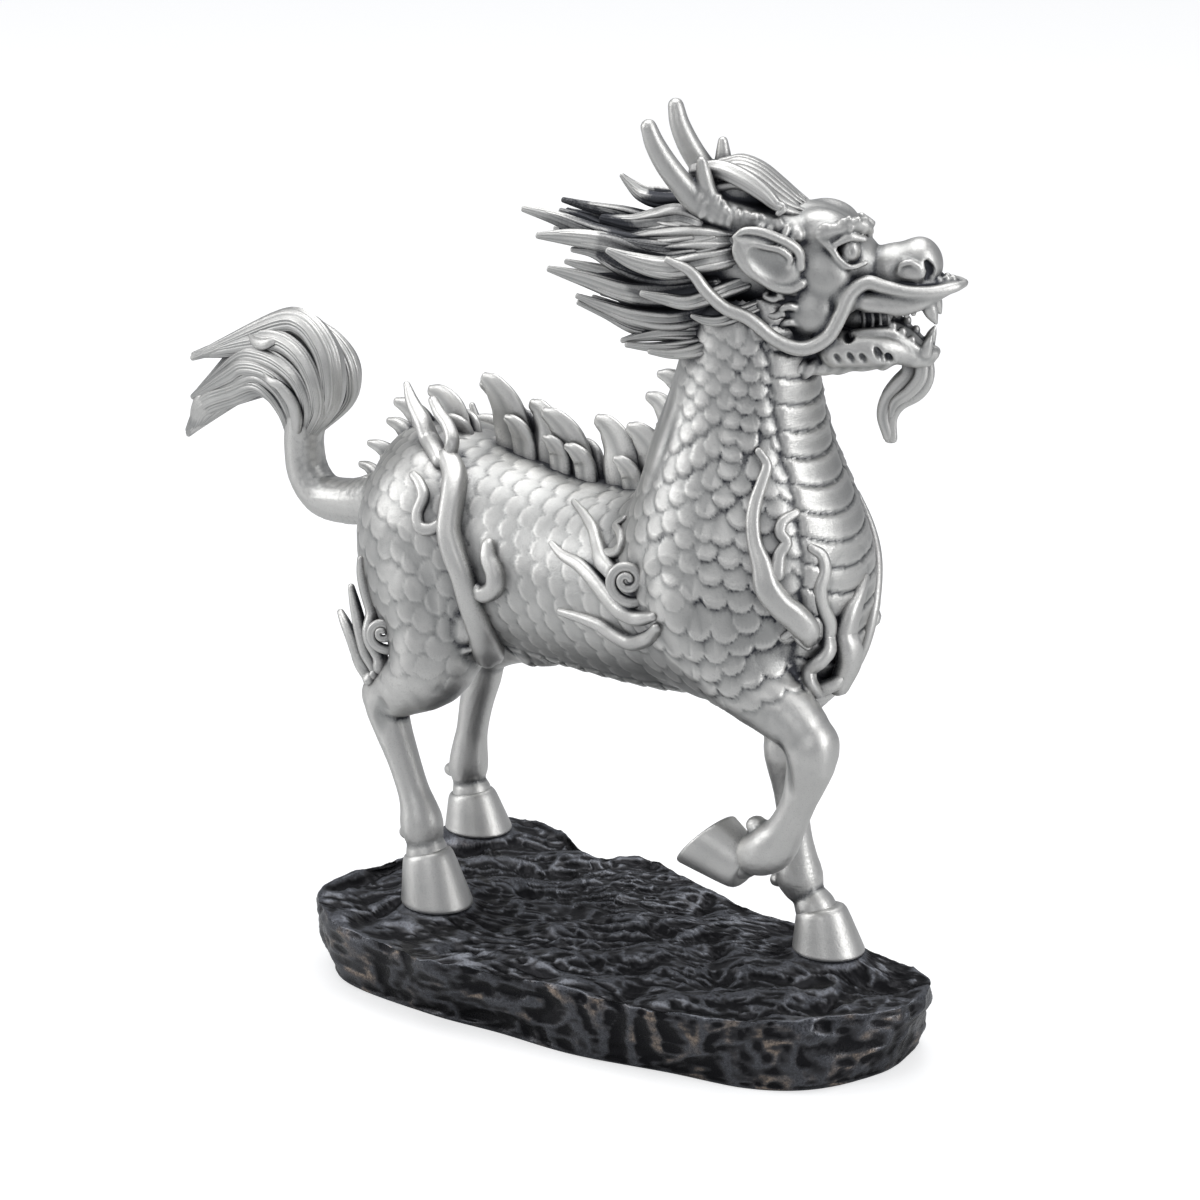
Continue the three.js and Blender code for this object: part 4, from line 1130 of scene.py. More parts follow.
# The beard's strands on one side: ahead, sideways, up and half width.
BEARD = [
    [(35.4, 0, -5, 1.8), (35.6, 0, -9.8, 1.9), (33.8, 0, -12.9, 1.9), (30.2, 0, -15.4, 1.6),
     (28.6, 0, -18.6, 1.3), (28.5, 0, -22.8, 1.3)],
    [(32.8, 1.2, -5, 1.6), (32.6, 1.4, -8.8, 1.7), (30, 1.5, -11.8, 1.7), (28, 1.3, -14.4, 1.5),
     (27.1, 1, -17.8, 1.2), (28, 0.5, -22.2, 1)],
    [(35.2, 2, -5.2, 1.3), (35, 2.5, -9.2, 1.4), (32.8, 2.6, -12.2, 1.3), (29.8, 2.3, -14.6, 1),
     (28.8, 2, -17.4, 0.4)],
]


def beard():
    shapes = []
    for side in SIDES:
        for stations in BEARD:
            line = smooth_line([(x, side * y, z, r, r * 0.6) for x, y, z, r in stations], 6)
            shapes.append(sweep(line, (0.3, side, 0.1), grooved(0.3, 0.5), sides=16))
    return joined(shapes)


def head_turn():
    """The matrix that turns the head to the animal's left."""
    turn = math.radians(HEAD_TURN)
    return np.array([[math.cos(turn), -math.sin(turn), 0], [math.sin(turn), math.cos(turn), 0], [0, 0, 1]])


def set_on_neck(points):
    """From the head's own axes to the body's."""
    lift = math.radians(HEAD_LIFT)
    raised = np.array([[math.cos(lift), 0, -math.sin(lift)], [0, 1, 0], [math.sin(lift), 0, math.cos(lift)]])
    return points * HEAD_SIZE @ (head_turn() @ raised).T + np.array(HEAD_PLACE)


# The tail's tuft


# The near fan's strands, lowest first, and the half width and half thickness of their stations.
TUFT = [
    [(-87.5, -1, 83.6), (-87.2, -2.2, 88.6), (-89.8, -3, 92.4), (-94.6, -3, 93.6), (-101.9, -2.5, 90.6),
     (-111.3, -1, 86.4)],
    [(-86.4, -1, 84), (-85.2, -2.4, 89.6), (-87.2, -3.4, 94), (-92.6, -3.6, 96), (-99.2, -3, 93.6),
     (-105.4, -1.5, 89.4)],
    [(-85.2, -1, 84.4), (-82.7, -2.8, 90.8), (-84.6, -4, 95.4), (-90.2, -4, 97.4), (-96.5, -4, 97),
     (-101.7, -3.5, 94.2)],
    [(-84.1, -1, 84.6), (-80.2, -2.8, 91.2), (-81, -4, 96.4), (-85.9, -4, 99.2), (-91.8, -4, 100),
     (-98.4, -3.5, 98.6)],
    [(-83, -1, 84.8), (-77.8, -2.4, 91.4), (-77.6, -3.4, 97.4), (-81.4, -3.4, 101.8), (-87.2, -3.4, 103.6),
     (-94, -3.6, 102.4)],
    [(-82.3, -0.5, 85), (-76, -1.5, 92.6), (-75, -2, 99), (-77, -2, 104), (-82, -2, 107.6),
     (-88.4, -2.4, 107)],
]
TUFT_SIZES = [(1.5, 1.4), (2.1, 2.5), (2.3, 3.1), (2.7, 3.1), (2.9, 2.7), (2.9, 2.3)]
# The points that the strands run out to, on the near side and on the far one.
LONG_TIP, MIDDLE_TIP = (-122, 3.5, 76.5), (-115, -2, 86.5)
UPPER_TIP, FAR_TIP = (-111.5, -6, 97), (-116, 6.5, 90)
NEAR_TIPS = [LONG_TIP, LONG_TIP, MIDDLE_TIP, MIDDLE_TIP, UPPER_TIP, UPPER_TIP]
FAR_TIPS = [LONG_TIP, LONG_TIP, LONG_TIP, FAR_TIP, FAR_TIP, FAR_TIP]
# The far half of the fan, above its foot: its arch against the near one's, how much further back it lies, and
# the plane between the two halves.
FAR_ARCH = 0.8
FAR_FOOT = 87
FAR_BACK = 1.7
FAN_MIDDLE = 1.3
# How far each strand's tip may stray.
TIP_SWAY = 0.8
LOOSE_LOCKS = [
    [(-96, -4.6, 104, 0.5), (-93, -5.8, 103.2, 1), (-90.2, -6.2, 103.2, 1.2), (-88, -6, 104, 0.9),
     (-86.2, -5, 104.8, 0.4)],
    [(-89.6, -6.8, 97.4, 0.4), (-87.1, -7.6, 96.4, 0.8), (-84.5, -7.4, 95.6, 1.1), (-82.2, -6.6, 93, 1.5),
     (-82, -5.4, 89.6, 1.6), (-83.4, -4, 86, 1.2)],
]


def tuft():
    """Fine hair that rises from the stalk, fans out round a roll and ends in four points."""
    shapes = []
    for far, tips in enumerate((NEAR_TIPS, FAR_TIPS)):
        for strand, tip in zip(TUFT, tips):
            stations = []
            for (x, y, z), (half, thick) in zip(strand, TUFT_SIZES):
                if far and z > FAR_FOOT:
                    x, y, z = x - FAR_BACK, 2 * FAN_MIDDLE - y, FAR_FOOT + (z - FAR_FOOT) * FAR_ARCH
                stations.append((x, y, z, half, thick))
            near_tip = (np.array(strand[-1]) + 2 * np.array(tip)) / 3
            sway = DRAW.uniform(-TIP_SWAY, TIP_SWAY, 3)
            stations.append((*(near_tip + 0.5 * sway), 1.5, 1.2))
            stations.append((*(np.array(tip) + sway), 0.6, 0.5))
            shapes.append(sweep(smooth_line(stations, 6), (0, 1 if far else -1, 0.1), combed, sides=88))
    for stations in LOOSE_LOCKS:
        line = smooth_line([(*s, s[3] * 0.8) for s in stations], 6)
        shapes.append(sweep(line, (0, -1, 0.2), grooved(0.25, 0.5), sides=14))
    return joined(shapes)


# The crest


# Leaves along the back and neck: foot x, z, tip x, z, and half length at the foot.
CREST = [
    (-65.5, 77.5, -70.5, 80.3, 2), (-60.5, 82.5, -66.3, 86, 2.4), (-56, 87, -62.5, 91, 2.8),
    (-51.5, 90, -58.8, 96.2, 3.4), (-43.5, 92.5, -51.3, 99.7, 4.2), (-28, 93, -35.5, 105.6, 4.8),
    (-18.5, 92, -24.5, 101.8, 4.4), (-12, 91.3, -19.8, 101.3, 4.4), (0, 90.5, -7.8, 101.8, 4.8),
    (8.5, 94, 1.8, 102.3, 4.4), (12, 102, 5.2, 108.7, 3.6), (15, 110.5, 9.6, 114.2, 3),
]
# A leaf's half thickness.
LEAF_THICK = 1.5
# How far the tips lean aside, each leaf the other way, and the small leaf on each side of a large one.
CREST_LEAN = 0.9
SIDE_LEAF_SIZE = 0.62
SIDE_LEAF_ASIDE = 1.2


def leaf(foot, tip, half, y, lean):
    """A curled leaf: convex ahead, swept back to a round tip, thinner along its middle than at its edges."""
    (foot_x, foot_z), (tip_x, tip_z) = foot, tip
    back, rise = tip_x - foot_x, tip_z - foot_z
    end = max(0.3 * half, 0.75)
    stations = [
        (foot_x + 1, y, foot_z - 4, half, LEAF_THICK * 1.3),
        (foot_x + 0.1 * back + 0.6, y, foot_z + 0.2 * rise, half, LEAF_THICK),
        (foot_x + 0.3 * back + 0.9, y + 0.5 * lean, foot_z + 0.56 * rise, half * 0.85, LEAF_THICK * 0.95),
        (foot_x + 0.62 * back + 0.5, y + 0.9 * lean, foot_z + 0.84 * rise, half * 0.58, LEAF_THICK * 0.8),
        (tip_x + end * 0.6, y + lean, tip_z - end * 0.5, end, min(end, 0.9)),
    ]
    return sweep(smooth_line(stations, 6), (0, 1, 0), dished, sides=20)


def crest():
    shapes = []
    for i, (foot_x, foot_z, tip_x, tip_z, half) in enumerate(CREST):
        lean = CREST_LEAN * (-1) ** i
        shapes.append(leaf((foot_x, foot_z), (tip_x, tip_z), half, 0, lean))
        ahead = foot_x + 0.75 * half
        foot = (ahead, foot_z - 0.6)
        tip = (ahead + 0.5 * (tip_x - foot_x), foot_z + 0.45 * (tip_z - foot_z))
        for side in SIDES:
            shapes.append(leaf(foot, tip, half * SIDE_LEAF_SIZE, side * SIDE_LEAF_ASIDE, side))
    return joined(shapes)


# The flames


# Tongues of flame from tip to root, or from end to end: stations as for the limbs. Those on both sides stand
# here for the right one.
FLAMES_ON_BOTH_SIDES = [
    [(-35, -11.8, 91.5, 2.2), (-31.4, -13.8, 89, 2.5), (-29.4, -16.4, 85.4, 2.5), (-27.6, -19.6, 79.5, 2.5),
     (-25.6, -20, 75.4, 2.6), (-23.2, -20.4, 71.5, 2.6), (-22.2, -19.6, 67, 2.6), (-21.8, -18, 62, 2.7),
     (-22.2, -16, 57, 3), (-23, -13.5, 53.6, 3.2)],
    [(-42.4, -7.6, 100.4, 1), (-40, -8.4, 98.4, 1.25), (-36.6, -9.6, 96.6, 1.35), (-34.4, -11, 94, 1.5),
     (-35.4, -12, 91.4, 1.5), (-36.6, -12.6, 90, 1.2)],
    [(-39.2, -17.5, 88.2, 0.9), (-36.8, -18.4, 87.2, 1.15), (-34.8, -19.4, 85, 1.3),
     (-35, -20.8, 81.6, 1.3), (-33.6, -21.4, 79.2, 1.3), (-31, -20.6, 79.4, 1.3),
     (-28.8, -19.4, 81.4, 1.3)],
    [(-18.4, -18.8, 78.2, 1.4), (-17.6, -19, 75.6, 1.8), (-15.6, -19.4, 73, 2), (-15.8, -19.4, 70.2, 2),
     (-18.6, -19.6, 68.4, 1.8), (-21.6, -19.8, 69.2, 1.5)],
    [(-50.6, -20.4, 69, 0.8), (-50.8, -20.4, 65.2, 1.2), (-50.2, -20.5, 60.8, 1.4), (-48.5, -21, 54.6, 1.6),
     (-45.6, -21.4, 48.2, 1.8)],
    [(-4.8, -9.6, 88.4, 0.6), (-0.6, -11.4, 86.8, 0.9), (4, -14, 85, 1.2), (6.8, -15.8, 82.8, 1.4),
     (9.8, -17.6, 80.6, 1.9), (13.2, -18.6, 79.4, 1.8)],
    [(12, -15.4, 89.4, 0.5), (9, -14.4, 87.2, 0.8), (12.8, -16.8, 86.6, 0.95), (15, -18.2, 85, 1),
     (13.2, -17.8, 83, 1.1), (10.2, -17, 81.8, 1.2)],
    [(-4.4, -16.6, 81, 0.6), (-0.8, -17.2, 79.4, 1), (4.2, -18, 78.6, 1.4), (9, -19, 76.8, 1.7),
     (13, -20, 74.6, 1.8), (17, -20.8, 72.8, 1.8), (22.4, -22.2, 73, 1.6), (27.4, -24, 74.8, 0.9)],
]
FLAMES_ON_RIGHT_SIDE = [
    [(-54.4, -19.4, 62, 0.8), (-53, -19.8, 58.4, 1.3), (-51.2, -20.2, 53.8, 1.6), (-49.4, -20.4, 49.4, 1.7),
     (-47, -20.6, 45.4, 1.5)],
    [(-51.4, -5.4, 101.6, 0.7), (-48.8, -6.6, 98.6, 1.4), (-44.8, -8, 95.4, 1.9), (-40, -10.4, 92.6, 2),
     (-35.6, -13, 90.6, 1.8)],
    [(0.4, -19.6, 68.6, 0.8), (5.8, -19.8, 68.6, 1.1), (10.8, -19.8, 68.2, 1.4), (14.6, -19.8, 67, 1.6),
     (19, -20.4, 66.6, 1.6), (24.6, -22.6, 69.4, 1.5), (28, -24.2, 72.6, 1)],
    [(-57.4, -19.4, 56, 0.8), (-55.4, -20.2, 54.4, 1.2), (-53, -20.6, 51.4, 1.5), (-50.8, -20.8, 47.4, 1.6),
     (-47.6, -20.8, 44, 1.6)],
    [(42.2, -11.4, 107, 0.8), (43.8, -11, 104.6, 1), (43.8, -12.4, 101.6, 1.15), (43.8, -14.4, 98, 1.3),
     (44.4, -15.8, 94.6, 1.4), (45.6, -16.6, 91, 1.5), (47.4, -16.8, 87.4, 2), (48.6, -16.6, 83.2, 2.5),
     (50.4, -15, 79.8, 2.6), (52.4, -13.2, 77.4, 2.7), (54, -11.4, 74.6, 2.6), (54.4, -10.6, 72.4, 1.8)],
    [(50, -9.6, 96.4, 0.8), (48.4, -11.8, 94.8, 1.1), (48.6, -13, 93, 1.2), (50, -12.8, 91.2, 1.2),
     (49.4, -14.2, 89, 1.3), (49.6, -15.2, 85.6, 1.6)],
    [(53.4, -9.2, 90, 0.9), (54.8, -7.6, 88.4, 1.2), (55.4, -7.4, 85.4, 1.4), (55.2, -8.6, 82, 1.5),
     (55.8, -8.2, 78.4, 1.5), (56.6, -6.8, 74.4, 1.6), (56.2, -7, 70.6, 1.6), (54.8, -9.2, 67.2, 1.5),
     (54.2, -9.4, 64, 1.5), (54.8, -7, 61.8, 1.5), (56, -3.6, 63.4, 1.4), (56.4, -1.6, 66, 1.2)],
    [(50.8, -14.2, 73, 0.7), (52.2, -13.2, 74, 0.9), (53.4, -11.8, 72.2, 1), (54.2, -10.4, 70.8, 1)],
    [(56.4, 4.8, 81.4, 0.8), (57.4, 1.2, 78.6, 1.5), (57.6, -1.8, 75.2, 2.2), (57.4, -2.8, 71, 2.6),
     (56.8, -2, 66.6, 2.6), (55, -2.5, 61.6, 2.2)],
]
FLAMES_ON_LEFT_SIDE = [
    [(-49, 11.4, 94, 0.7), (-46.4, 12, 92.4, 1.3), (-43, 12.8, 91, 1.8), (-39.4, 13.2, 90.2, 1.9),
     (-35.6, 13.4, 90.2, 1.8)],
    [(43, 13, 92, 0.7), (46.4, 12, 86, 1.1), (50, 9.4, 79.5, 1.4), (52.2, 6.8, 73, 1.5),
     (52.6, 5.4, 67, 1.5), (51, 4.6, 61, 1.3)],
    [(51.6, 10.6, 80, 0.7), (53.4, 10.4, 75.6, 1.2), (54.8, 9.8, 71.8, 1.5), (54, 8.2, 68.6, 1.3)],
]
# Spirals: where the middle lies, radius, half thickness, turns, and where they start in turns.
CURLS = [((19.8, -22.3, 80.2), 3.3, 1.15, 1.75, 0.83), ((-43.2, -22.2, 55.8), 2.5, 1.05, 1.6, 0.8)]
# The way the spirals face: ahead, outwards and up.
CURL_FACING = (0.55, 0.83, 0.06)
CURL_STATIONS = 56
# Up to this height over the skin, a flame is set down on it.
FLAME_REACH = 2.5
THINNEST_FLAME = 0.35


def outward_along(clay, places):
    """Steady directions away from the body along a line that may leave it."""
    out = clay.outward(places, 1.5)
    sure = np.linalg.norm(out, axis=1) > 0.5
    known = np.flatnonzero(sure)
    nearest = known[np.abs(np.arange(len(out))[:, None] - known[None]).argmin(1)]
    return unit(eased(out[nearest], 4))


def flame(clay, stations):
    """One tongue of flame: where it lies near the body, it is set on the skin."""
    line = smooth_line(stations, 7)
    places, radius = line[:, :3], np.maximum(line[:, 3], THINNEST_FLAME)
    out = outward_along(clay, places)
    above = clay.depth(places)
    lift = eased(np.where(above < FLAME_REACH, 0.3 * radius - above, 0), 3)
    places = places + out * lift[:, None]
    return sweep(np.column_stack([places, radius, radius * 0.95]), out, grooved(0.16, 0.3), sides=16)


def curl(middle, radius, half, turns, start, side):
    """A coil of flame with a short tail, facing ahead and outwards, its middle raised."""
    t = np.linspace(0, 1, CURL_STATIONS)
    angle = 2 * math.pi * (start - turns * t)
    reach = radius * (1 - 0.8 * t + 0.5 * (1 - t) ** 8)
    ahead, aside, up = CURL_FACING
    facing = unit(np.array([ahead, side * aside, up]))
    across = unit(np.array([aside, -side * ahead, 0]))
    rise = np.cross(facing, across) * -side
    shift = reach * np.cos(angle), reach * np.sin(angle), half * (0.3 + 0.9 * t)
    places = np.array(middle) + sum(s[:, None] * way for s, way in zip(shift, (across, rise, facing)))
    size = half * (1 - 0.42 * t)
    return sweep(np.column_stack([places, size, size]), facing, grooved(0.2, 0.4), sides=16)


def flames(clay):
    """All flames and spirals: the lists, and the spirals on the right and the left."""
    lines = FLAMES_ON_BOTH_SIDES + [on_side(-1, line) for line in FLAMES_ON_BOTH_SIDES]
    lines = lines + FLAMES_ON_RIGHT_SIDE + FLAMES_ON_LEFT_SIDE
    shapes = [flame(clay, line) for line in lines]
    for (x, y, z), *rest in CURLS:
        for side in SIDES:
            shapes.append(curl((x, -side * y, z), *rest, side))
    return joined(shapes)


# The hooves


# Where each hoof stands, and its width and height against the profile's.
STANDING_HOOVES = [(-32.2, -19.3, 0.96, 1), (-53.2, 17, 0.93, 0.75), (42.8, 12, 0.94, 0.8)]
# The raised hoof: the middle of its sole, the way its toe points, and its width and height.
RAISED_HOOF = (31.4, -13, 28)
RAISED_TOE = (-0.66, 0, -0.75)
RAISED_WIDTH, RAISED_HEIGHT = 0.92, 0.98
# How far a hoof's wall leans back over HOOF_HEIGHT.
STANDING_SLOPE = 2.3
RAISED_SLOPE = 3.6
HOOF_HEIGHT = 9
# A hoof from the hollow of its sole out and up over the wall to its upper edge: height and radius.
HOOF_PROFILE = [
    (0.9, 3), (0.8, 4.6), (0.1, 5.8), (0, 6.7), (0.05, 7), (0.25, 7.16), (0.6, 7.2), (1, 7.1), (2.5, 6.75),
    (5, 6.15), (7.4, 5.6), (8.8, 5.25), (9.6, 5), (10.2, 4.65), (10.5, 4.2), (10.6, 3.3),
]
# A hoof is longer than it is wide, and each millimetre ahead its upper edge stands higher by this share.
HOOF_LENGTHEN = 1.08
COLLAR_TILT = 0.026
HOOF_AROUND = 64


def hoof(place, forward, slope, width, tall):
    """A hoof whose sole lies at `place`, with its toe towards `forward`."""
    angle = np.linspace(0, 2 * math.pi, HOOF_AROUND, endpoint=False)
    rings = []
    for height, radius in np.array(HOOF_PROFILE) * (tall, width):
        x = HOOF_LENGTHEN * radius * np.cos(angle)
        rise = height * (1 + COLLAR_TILT * x)
        rings.append(np.stack([x - slope * height / HOOF_HEIGHT, radius * np.sin(angle), rise], 1))
    rings = np.array(rings)
    points, faces = rings_to_mesh(rings, np.array([rings[0].mean(0), rings[-1].mean(0)]))
    x_axis = unit(np.array(forward, float))
    y_axis = np.array([0, 1.0, 0])
    axes = np.stack([x_axis, y_axis, np.cross(x_axis, y_axis)], 1)
    return points @ axes.T + np.array(place, float), faces


def hooves():
    shapes = [hoof((x, y, 0), (1, 0, 0), STANDING_SLOPE, *size) for x, y, *size in STANDING_HOOVES]
    return joined(shapes + [hoof(RAISED_HOOF, RAISED_TOE, RAISED_SLOPE, RAISED_WIDTH, RAISED_HEIGHT)])


# The rock


# The outline of the top's rim and of the foot, seen from above.
ROCK_RIM = [
    (70, 11), (65, 17), (49, 20), (18.5, 21), (-3, 26), (-19, 29), (-28, 23), (-41, 29), (-54, 30),
    (-63, 18), (-60, 6), (-57.5, -5), (-60, -15), (-59, -28), (-48, -37), (-21, -42), (-6, -39), (14, -35),
    (33, -32), (51, -25), (62, -15), (71, 0),
]
ROCK_FOOT = [
    (65, 8), (60, 18), (46, 22), (18.5, 22), (-3, 25), (-19, 27), (-28, 24), (-40, 27), (-50, 26),
    (-57, 16), (-56, 6), (-55, -4), (-57, -14), (-55, -25), (-44, -34.5), (-21, -35.5), (-4, -33.5),
    (14, -32), (34, -26.5), (50, -22.5), (60, -15), (65, -3),
]
# The side: share of the way from rim to foot, of the full size and of the full height.
ROCK_SIDE = [
    (1, 0.985, 0), (1, 1, 0.03), (1, 1.01, 0.125), (0.78, 1.01, 0.344), (0.5, 1, 0.5625),
    (0.13, 0.985, 0.781), (0, 0.97, 0.9125),
]
# Points round the rock, and rings of them down its side and over its top.
ROCK_AROUND = 490
SIDE_RINGS = 48
TOP_RINGS = 88
# How far the top dips between the hooves.
ROCK_DIPS = 3
# How many rings of the top its rounded edge takes, and the rim's height in shares of the rock's.
ROUNDED_RINGS = 7
RIM_LEVEL = 0.93
# Where the rock starts to be rough, counted from the middle of a hoof, and over what distance it grows rough
# and sinks away from the hoof.
PAD_RADIUS = 6.4
PAD_FADE = 2.4
SLOPE_FADE = 9


def loop(points, amount):
    """A smooth closed line through points, as that many places."""
    p = np.array(points, float)
    t = np.arange(amount) * len(p) / amount
    i = t.astype(int)
    s = (t - i)[:, None]
    a, b, c, d = (p[(i + k) % len(p)] for k in (-1, 0, 1, 2))
    return 0.5 * (2 * b + (c - a) * s + (2 * a - 5 * b + 4 * c - d) * s * s
                  + (3 * b - 3 * c + d - a) * s ** 3)


def crags(points):
    """Broken rock: sharp ridges of several sizes, run together sideways."""
    warp = np.stack([noise(points, 14, k) for k in (21, 22, 23)], 1) * 4
    total, size, share = np.zeros(len(points)), 11.0, 1.0
    for k in range(4):
        ridge = 1 - np.abs(noise(points * (1, 1, 1.9) + warp, size, 30 + k))
        total += share * (ridge ** 2 - 0.45)
        size, share = size / 2.05, share * 0.52
    return total


def strata(points):
    """The rock's side: long level lumps, and upright crests below the raised foreleg."""
    x, y, _ = points.T
    warp = np.stack([noise(points, 12, k) for k in (51, 52, 53)], 1) * 4
    level = np.abs(noise(points * (0.55, 0.55, 1.2) + warp, 7.6, 54))
    upright = 0.75 - np.abs(noise(points * (1.2, 1.2, 0.45) + warp * 0.6, 6, 55)) ** 0.8
    share = ramp(x, 12, 8) * ramp(x, 50, -8) * (y < 0)
    small = 1 - np.abs(noise(points * (0.7, 0.7, 1.2) + warp, 3.1, 56))
    return 1.7 * (level * (1 - share) + upright * share) + 0.55 * small ** 2 - 1.2


def terraces(points):
    """The rock's top: long wavy shelves, one behind another, with streaks along them and a few pits."""
    x, y, _ = points.T
    flat = points * (1, 1, 0)
    streaming = np.stack([0.52 * (0.9 * x + 0.44 * y), 0.9 * y - 0.44 * x, 0 * x], 1)
    drift = 1.5 * noise(streaming, 11, 41) + 0.45 * noise(streaming, 5, 42) + 0.3 * noise(flat, 9, 43)
    steps = 0.19 * streaming[:, 1] + drift
    share = steps % 1
    lip = np.where(share < 0.78, share / 0.78, (1 - share) / 0.22)
    streak = 1 - np.abs(noise(streaming + 0.8 * noise(flat, 5, 48)[:, None], 2.4, 44))
    pit = np.clip(noise(flat, 8, 46) - 0.32, 0, 1)
    ripple = 1 - np.abs(noise(streaming + 0.5 * noise(flat, 2, 49)[:, None], 1.5, 45))
    return 0.42 * lip + 0.36 * streak ** 3 + 0.4 * ripple ** 2 + 0.6 * noise(flat, 6, 47) - 0.9 - 2.6 * pit


def rock_rings():
    """Rings of points up the rock's side and inwards over its flat top, and how many are the side's."""
    rim, foot = loop(ROCK_RIM, ROCK_AROUND), loop(ROCK_FOOT, ROCK_AROUND)
    sides = smooth_line([(*s, 0) for s in ROCK_SIDE], SIDE_RINGS // (len(ROCK_SIDE) - 1))
    rings = []
    for share, size, level, _ in sides:
        place = (rim + (foot - rim) * share) * size
        rings.append(np.column_stack([place, np.full(ROCK_AROUND, level * ROCK_TOP)]))
    for size in np.linspace(0.965, 0.02, TOP_RINGS):
        rings.append(np.column_stack([rim * size, np.full(ROCK_AROUND, ROCK_TOP)]))
    return np.array(rings), len(sides)


def top_height(points):
    """The height of the rock's top: level under the hooves, dipping and terraced between them."""
    x, y, _ = points.T
    near = np.min([np.hypot(x - a, y - b) for a, b, _, _ in STANDING_HOOVES], axis=0)
    freedom, sinking = ramp(near, PAD_RADIUS, PAD_FADE), ramp(near, PAD_RADIUS, SLOPE_FADE)
    wave = np.sin(0.21 * x + 0.9) * np.cos(0.27 * y) + 0.6 * np.sin(0.37 * x - 0.31 * y)
    return ROCK_TOP + 0.25 - sinking * ROCK_DIPS * (0.45 - 0.3 * wave) + freedom * 1.25 * terraces(points)


def rock():
    """The rock with its rough side, rounded rim and terraced top."""
    rings, side_rings = rock_rings()
    points, faces = rings_to_mesh(rings, np.array([[0, 0, 0], [0, 0, ROCK_TOP]], float))
    top = np.zeros(len(points), bool)
    top[side_rings * ROCK_AROUND:-2] = True
    top[-1] = True
    away = unit(points * (1, 1, 0))
    rough = (crags(points) * 0.5 + strata(points)) * ramp(points[:, 2], 0, 1.2) * ~top
    points = points + away * rough[:, None]
    height = top_height(points)
    inward = ramp(np.arange(len(points)) // ROCK_AROUND, side_rings, ROUNDED_RINGS)
    rim_height = ROCK_TOP * RIM_LEVEL + 0.8 * crags(points)
    points[top, 2] = (rim_height + (height - rim_height) * (1 - (1 - inward) ** 2))[top]
    points[-1, 2] = points[-ROCK_AROUND - 2:-2, 2].mean()
    # From here on it counts from the hooves' plane, as the animal does.
    return points - (0, 0, HOOF_PLANE), faces


# Finishes


def feed(tree, socket, value):
    """Links a socket from another node's, or types in a number or colour."""
    if isinstance(value, bpy.types.NodeSocket):
        tree.links.new(value, socket)
    else:
        socket.default_value = value


def linked(tree, kind, **inputs):
    """A node with its named sockets fed."""
    node = tree.nodes.new(kind)
    for name, value in inputs.items():
        feed(tree, node.inputs[name.replace("_", " ")], value)
    return node


def maths(tree, operation, *values):
    node = tree.nodes.new("ShaderNodeMath")
    node.operation = operation
    for socket, value in zip(node.inputs, values):
        feed(tree, socket, value)
    return node.outputs[0]


def between(tree, low, high, share):
    """The colour that lies `share` of the way from one to the other."""
    node = tree.nodes.new("ShaderNodeMix")
    node.data_type = "RGBA"
    factor, first, second = node.inputs[0], node.inputs[6], node.inputs[7]
    for socket, value in ((factor, share), (first, low), (second, high)):
        feed(tree, socket, value)
    return node.outputs[2]


def spread(tree, value, low, high, to_low=0.0, to_high=1.0):
    """A value brought from one range to another and kept inside it."""
    node = linked(
        tree, "ShaderNodeMapRange", Value=value,
        From_Min=low, From_Max=high, To_Min=to_low, To_Max=to_high,
    )
    return node.outputs[0]


def grain(tree, size, detail, stretch=(1, 1, 1)):
    """Noise with grains about `size` millimetres across, fixed to the object."""
    place = tree.nodes.new("ShaderNodeTexCoord").outputs["Object"]
    scaled = tree.nodes.new("ShaderNodeVectorMath")
    scaled.operation = "MULTIPLY"
    feed(tree, scaled.inputs[0], place)
    feed(tree, scaled.inputs[1], stretch)
    node = linked(tree, "ShaderNodeTexNoise", Vector=scaled.outputs[0], Scale=1 / (size * MM), Detail=detail)
    return node.outputs["Fac"]


def stored(tree, name):
    """A value kept on the corners of the mesh."""
    node = tree.nodes.new("ShaderNodeAttribute")
    node.attribute_name = name
    return node.outputs["Fac"]


def put_out(tree, colour, roughness, height):
    """Makes and feeds the three outputs of a finish's node group."""
    out = tree.nodes.new("NodeGroupOutput")
    kinds = ("NodeSocketColor", "NodeSocketFloat", "NodeSocketFloat")
    for label, kind, value in zip(("Colour", "Roughness", "Height"), kinds, (colour, roughness, height)):
        tree.interface.new_socket(label, in_out="OUTPUT", socket_type=kind)
        feed(tree, out.inputs[label], value)
    return tree


# Pewter where it is rubbed bright, where it is dull, and the black of the patina in its hollows and of
# painted shade.
WORN = (0.73, 0.725, 0.705, 1)
TARNISHED = (0.48, 0.482, 0.473, 1)
PATINA_AND_SHADE_BLACK = (0.035, 0.038, 0.05, 1)


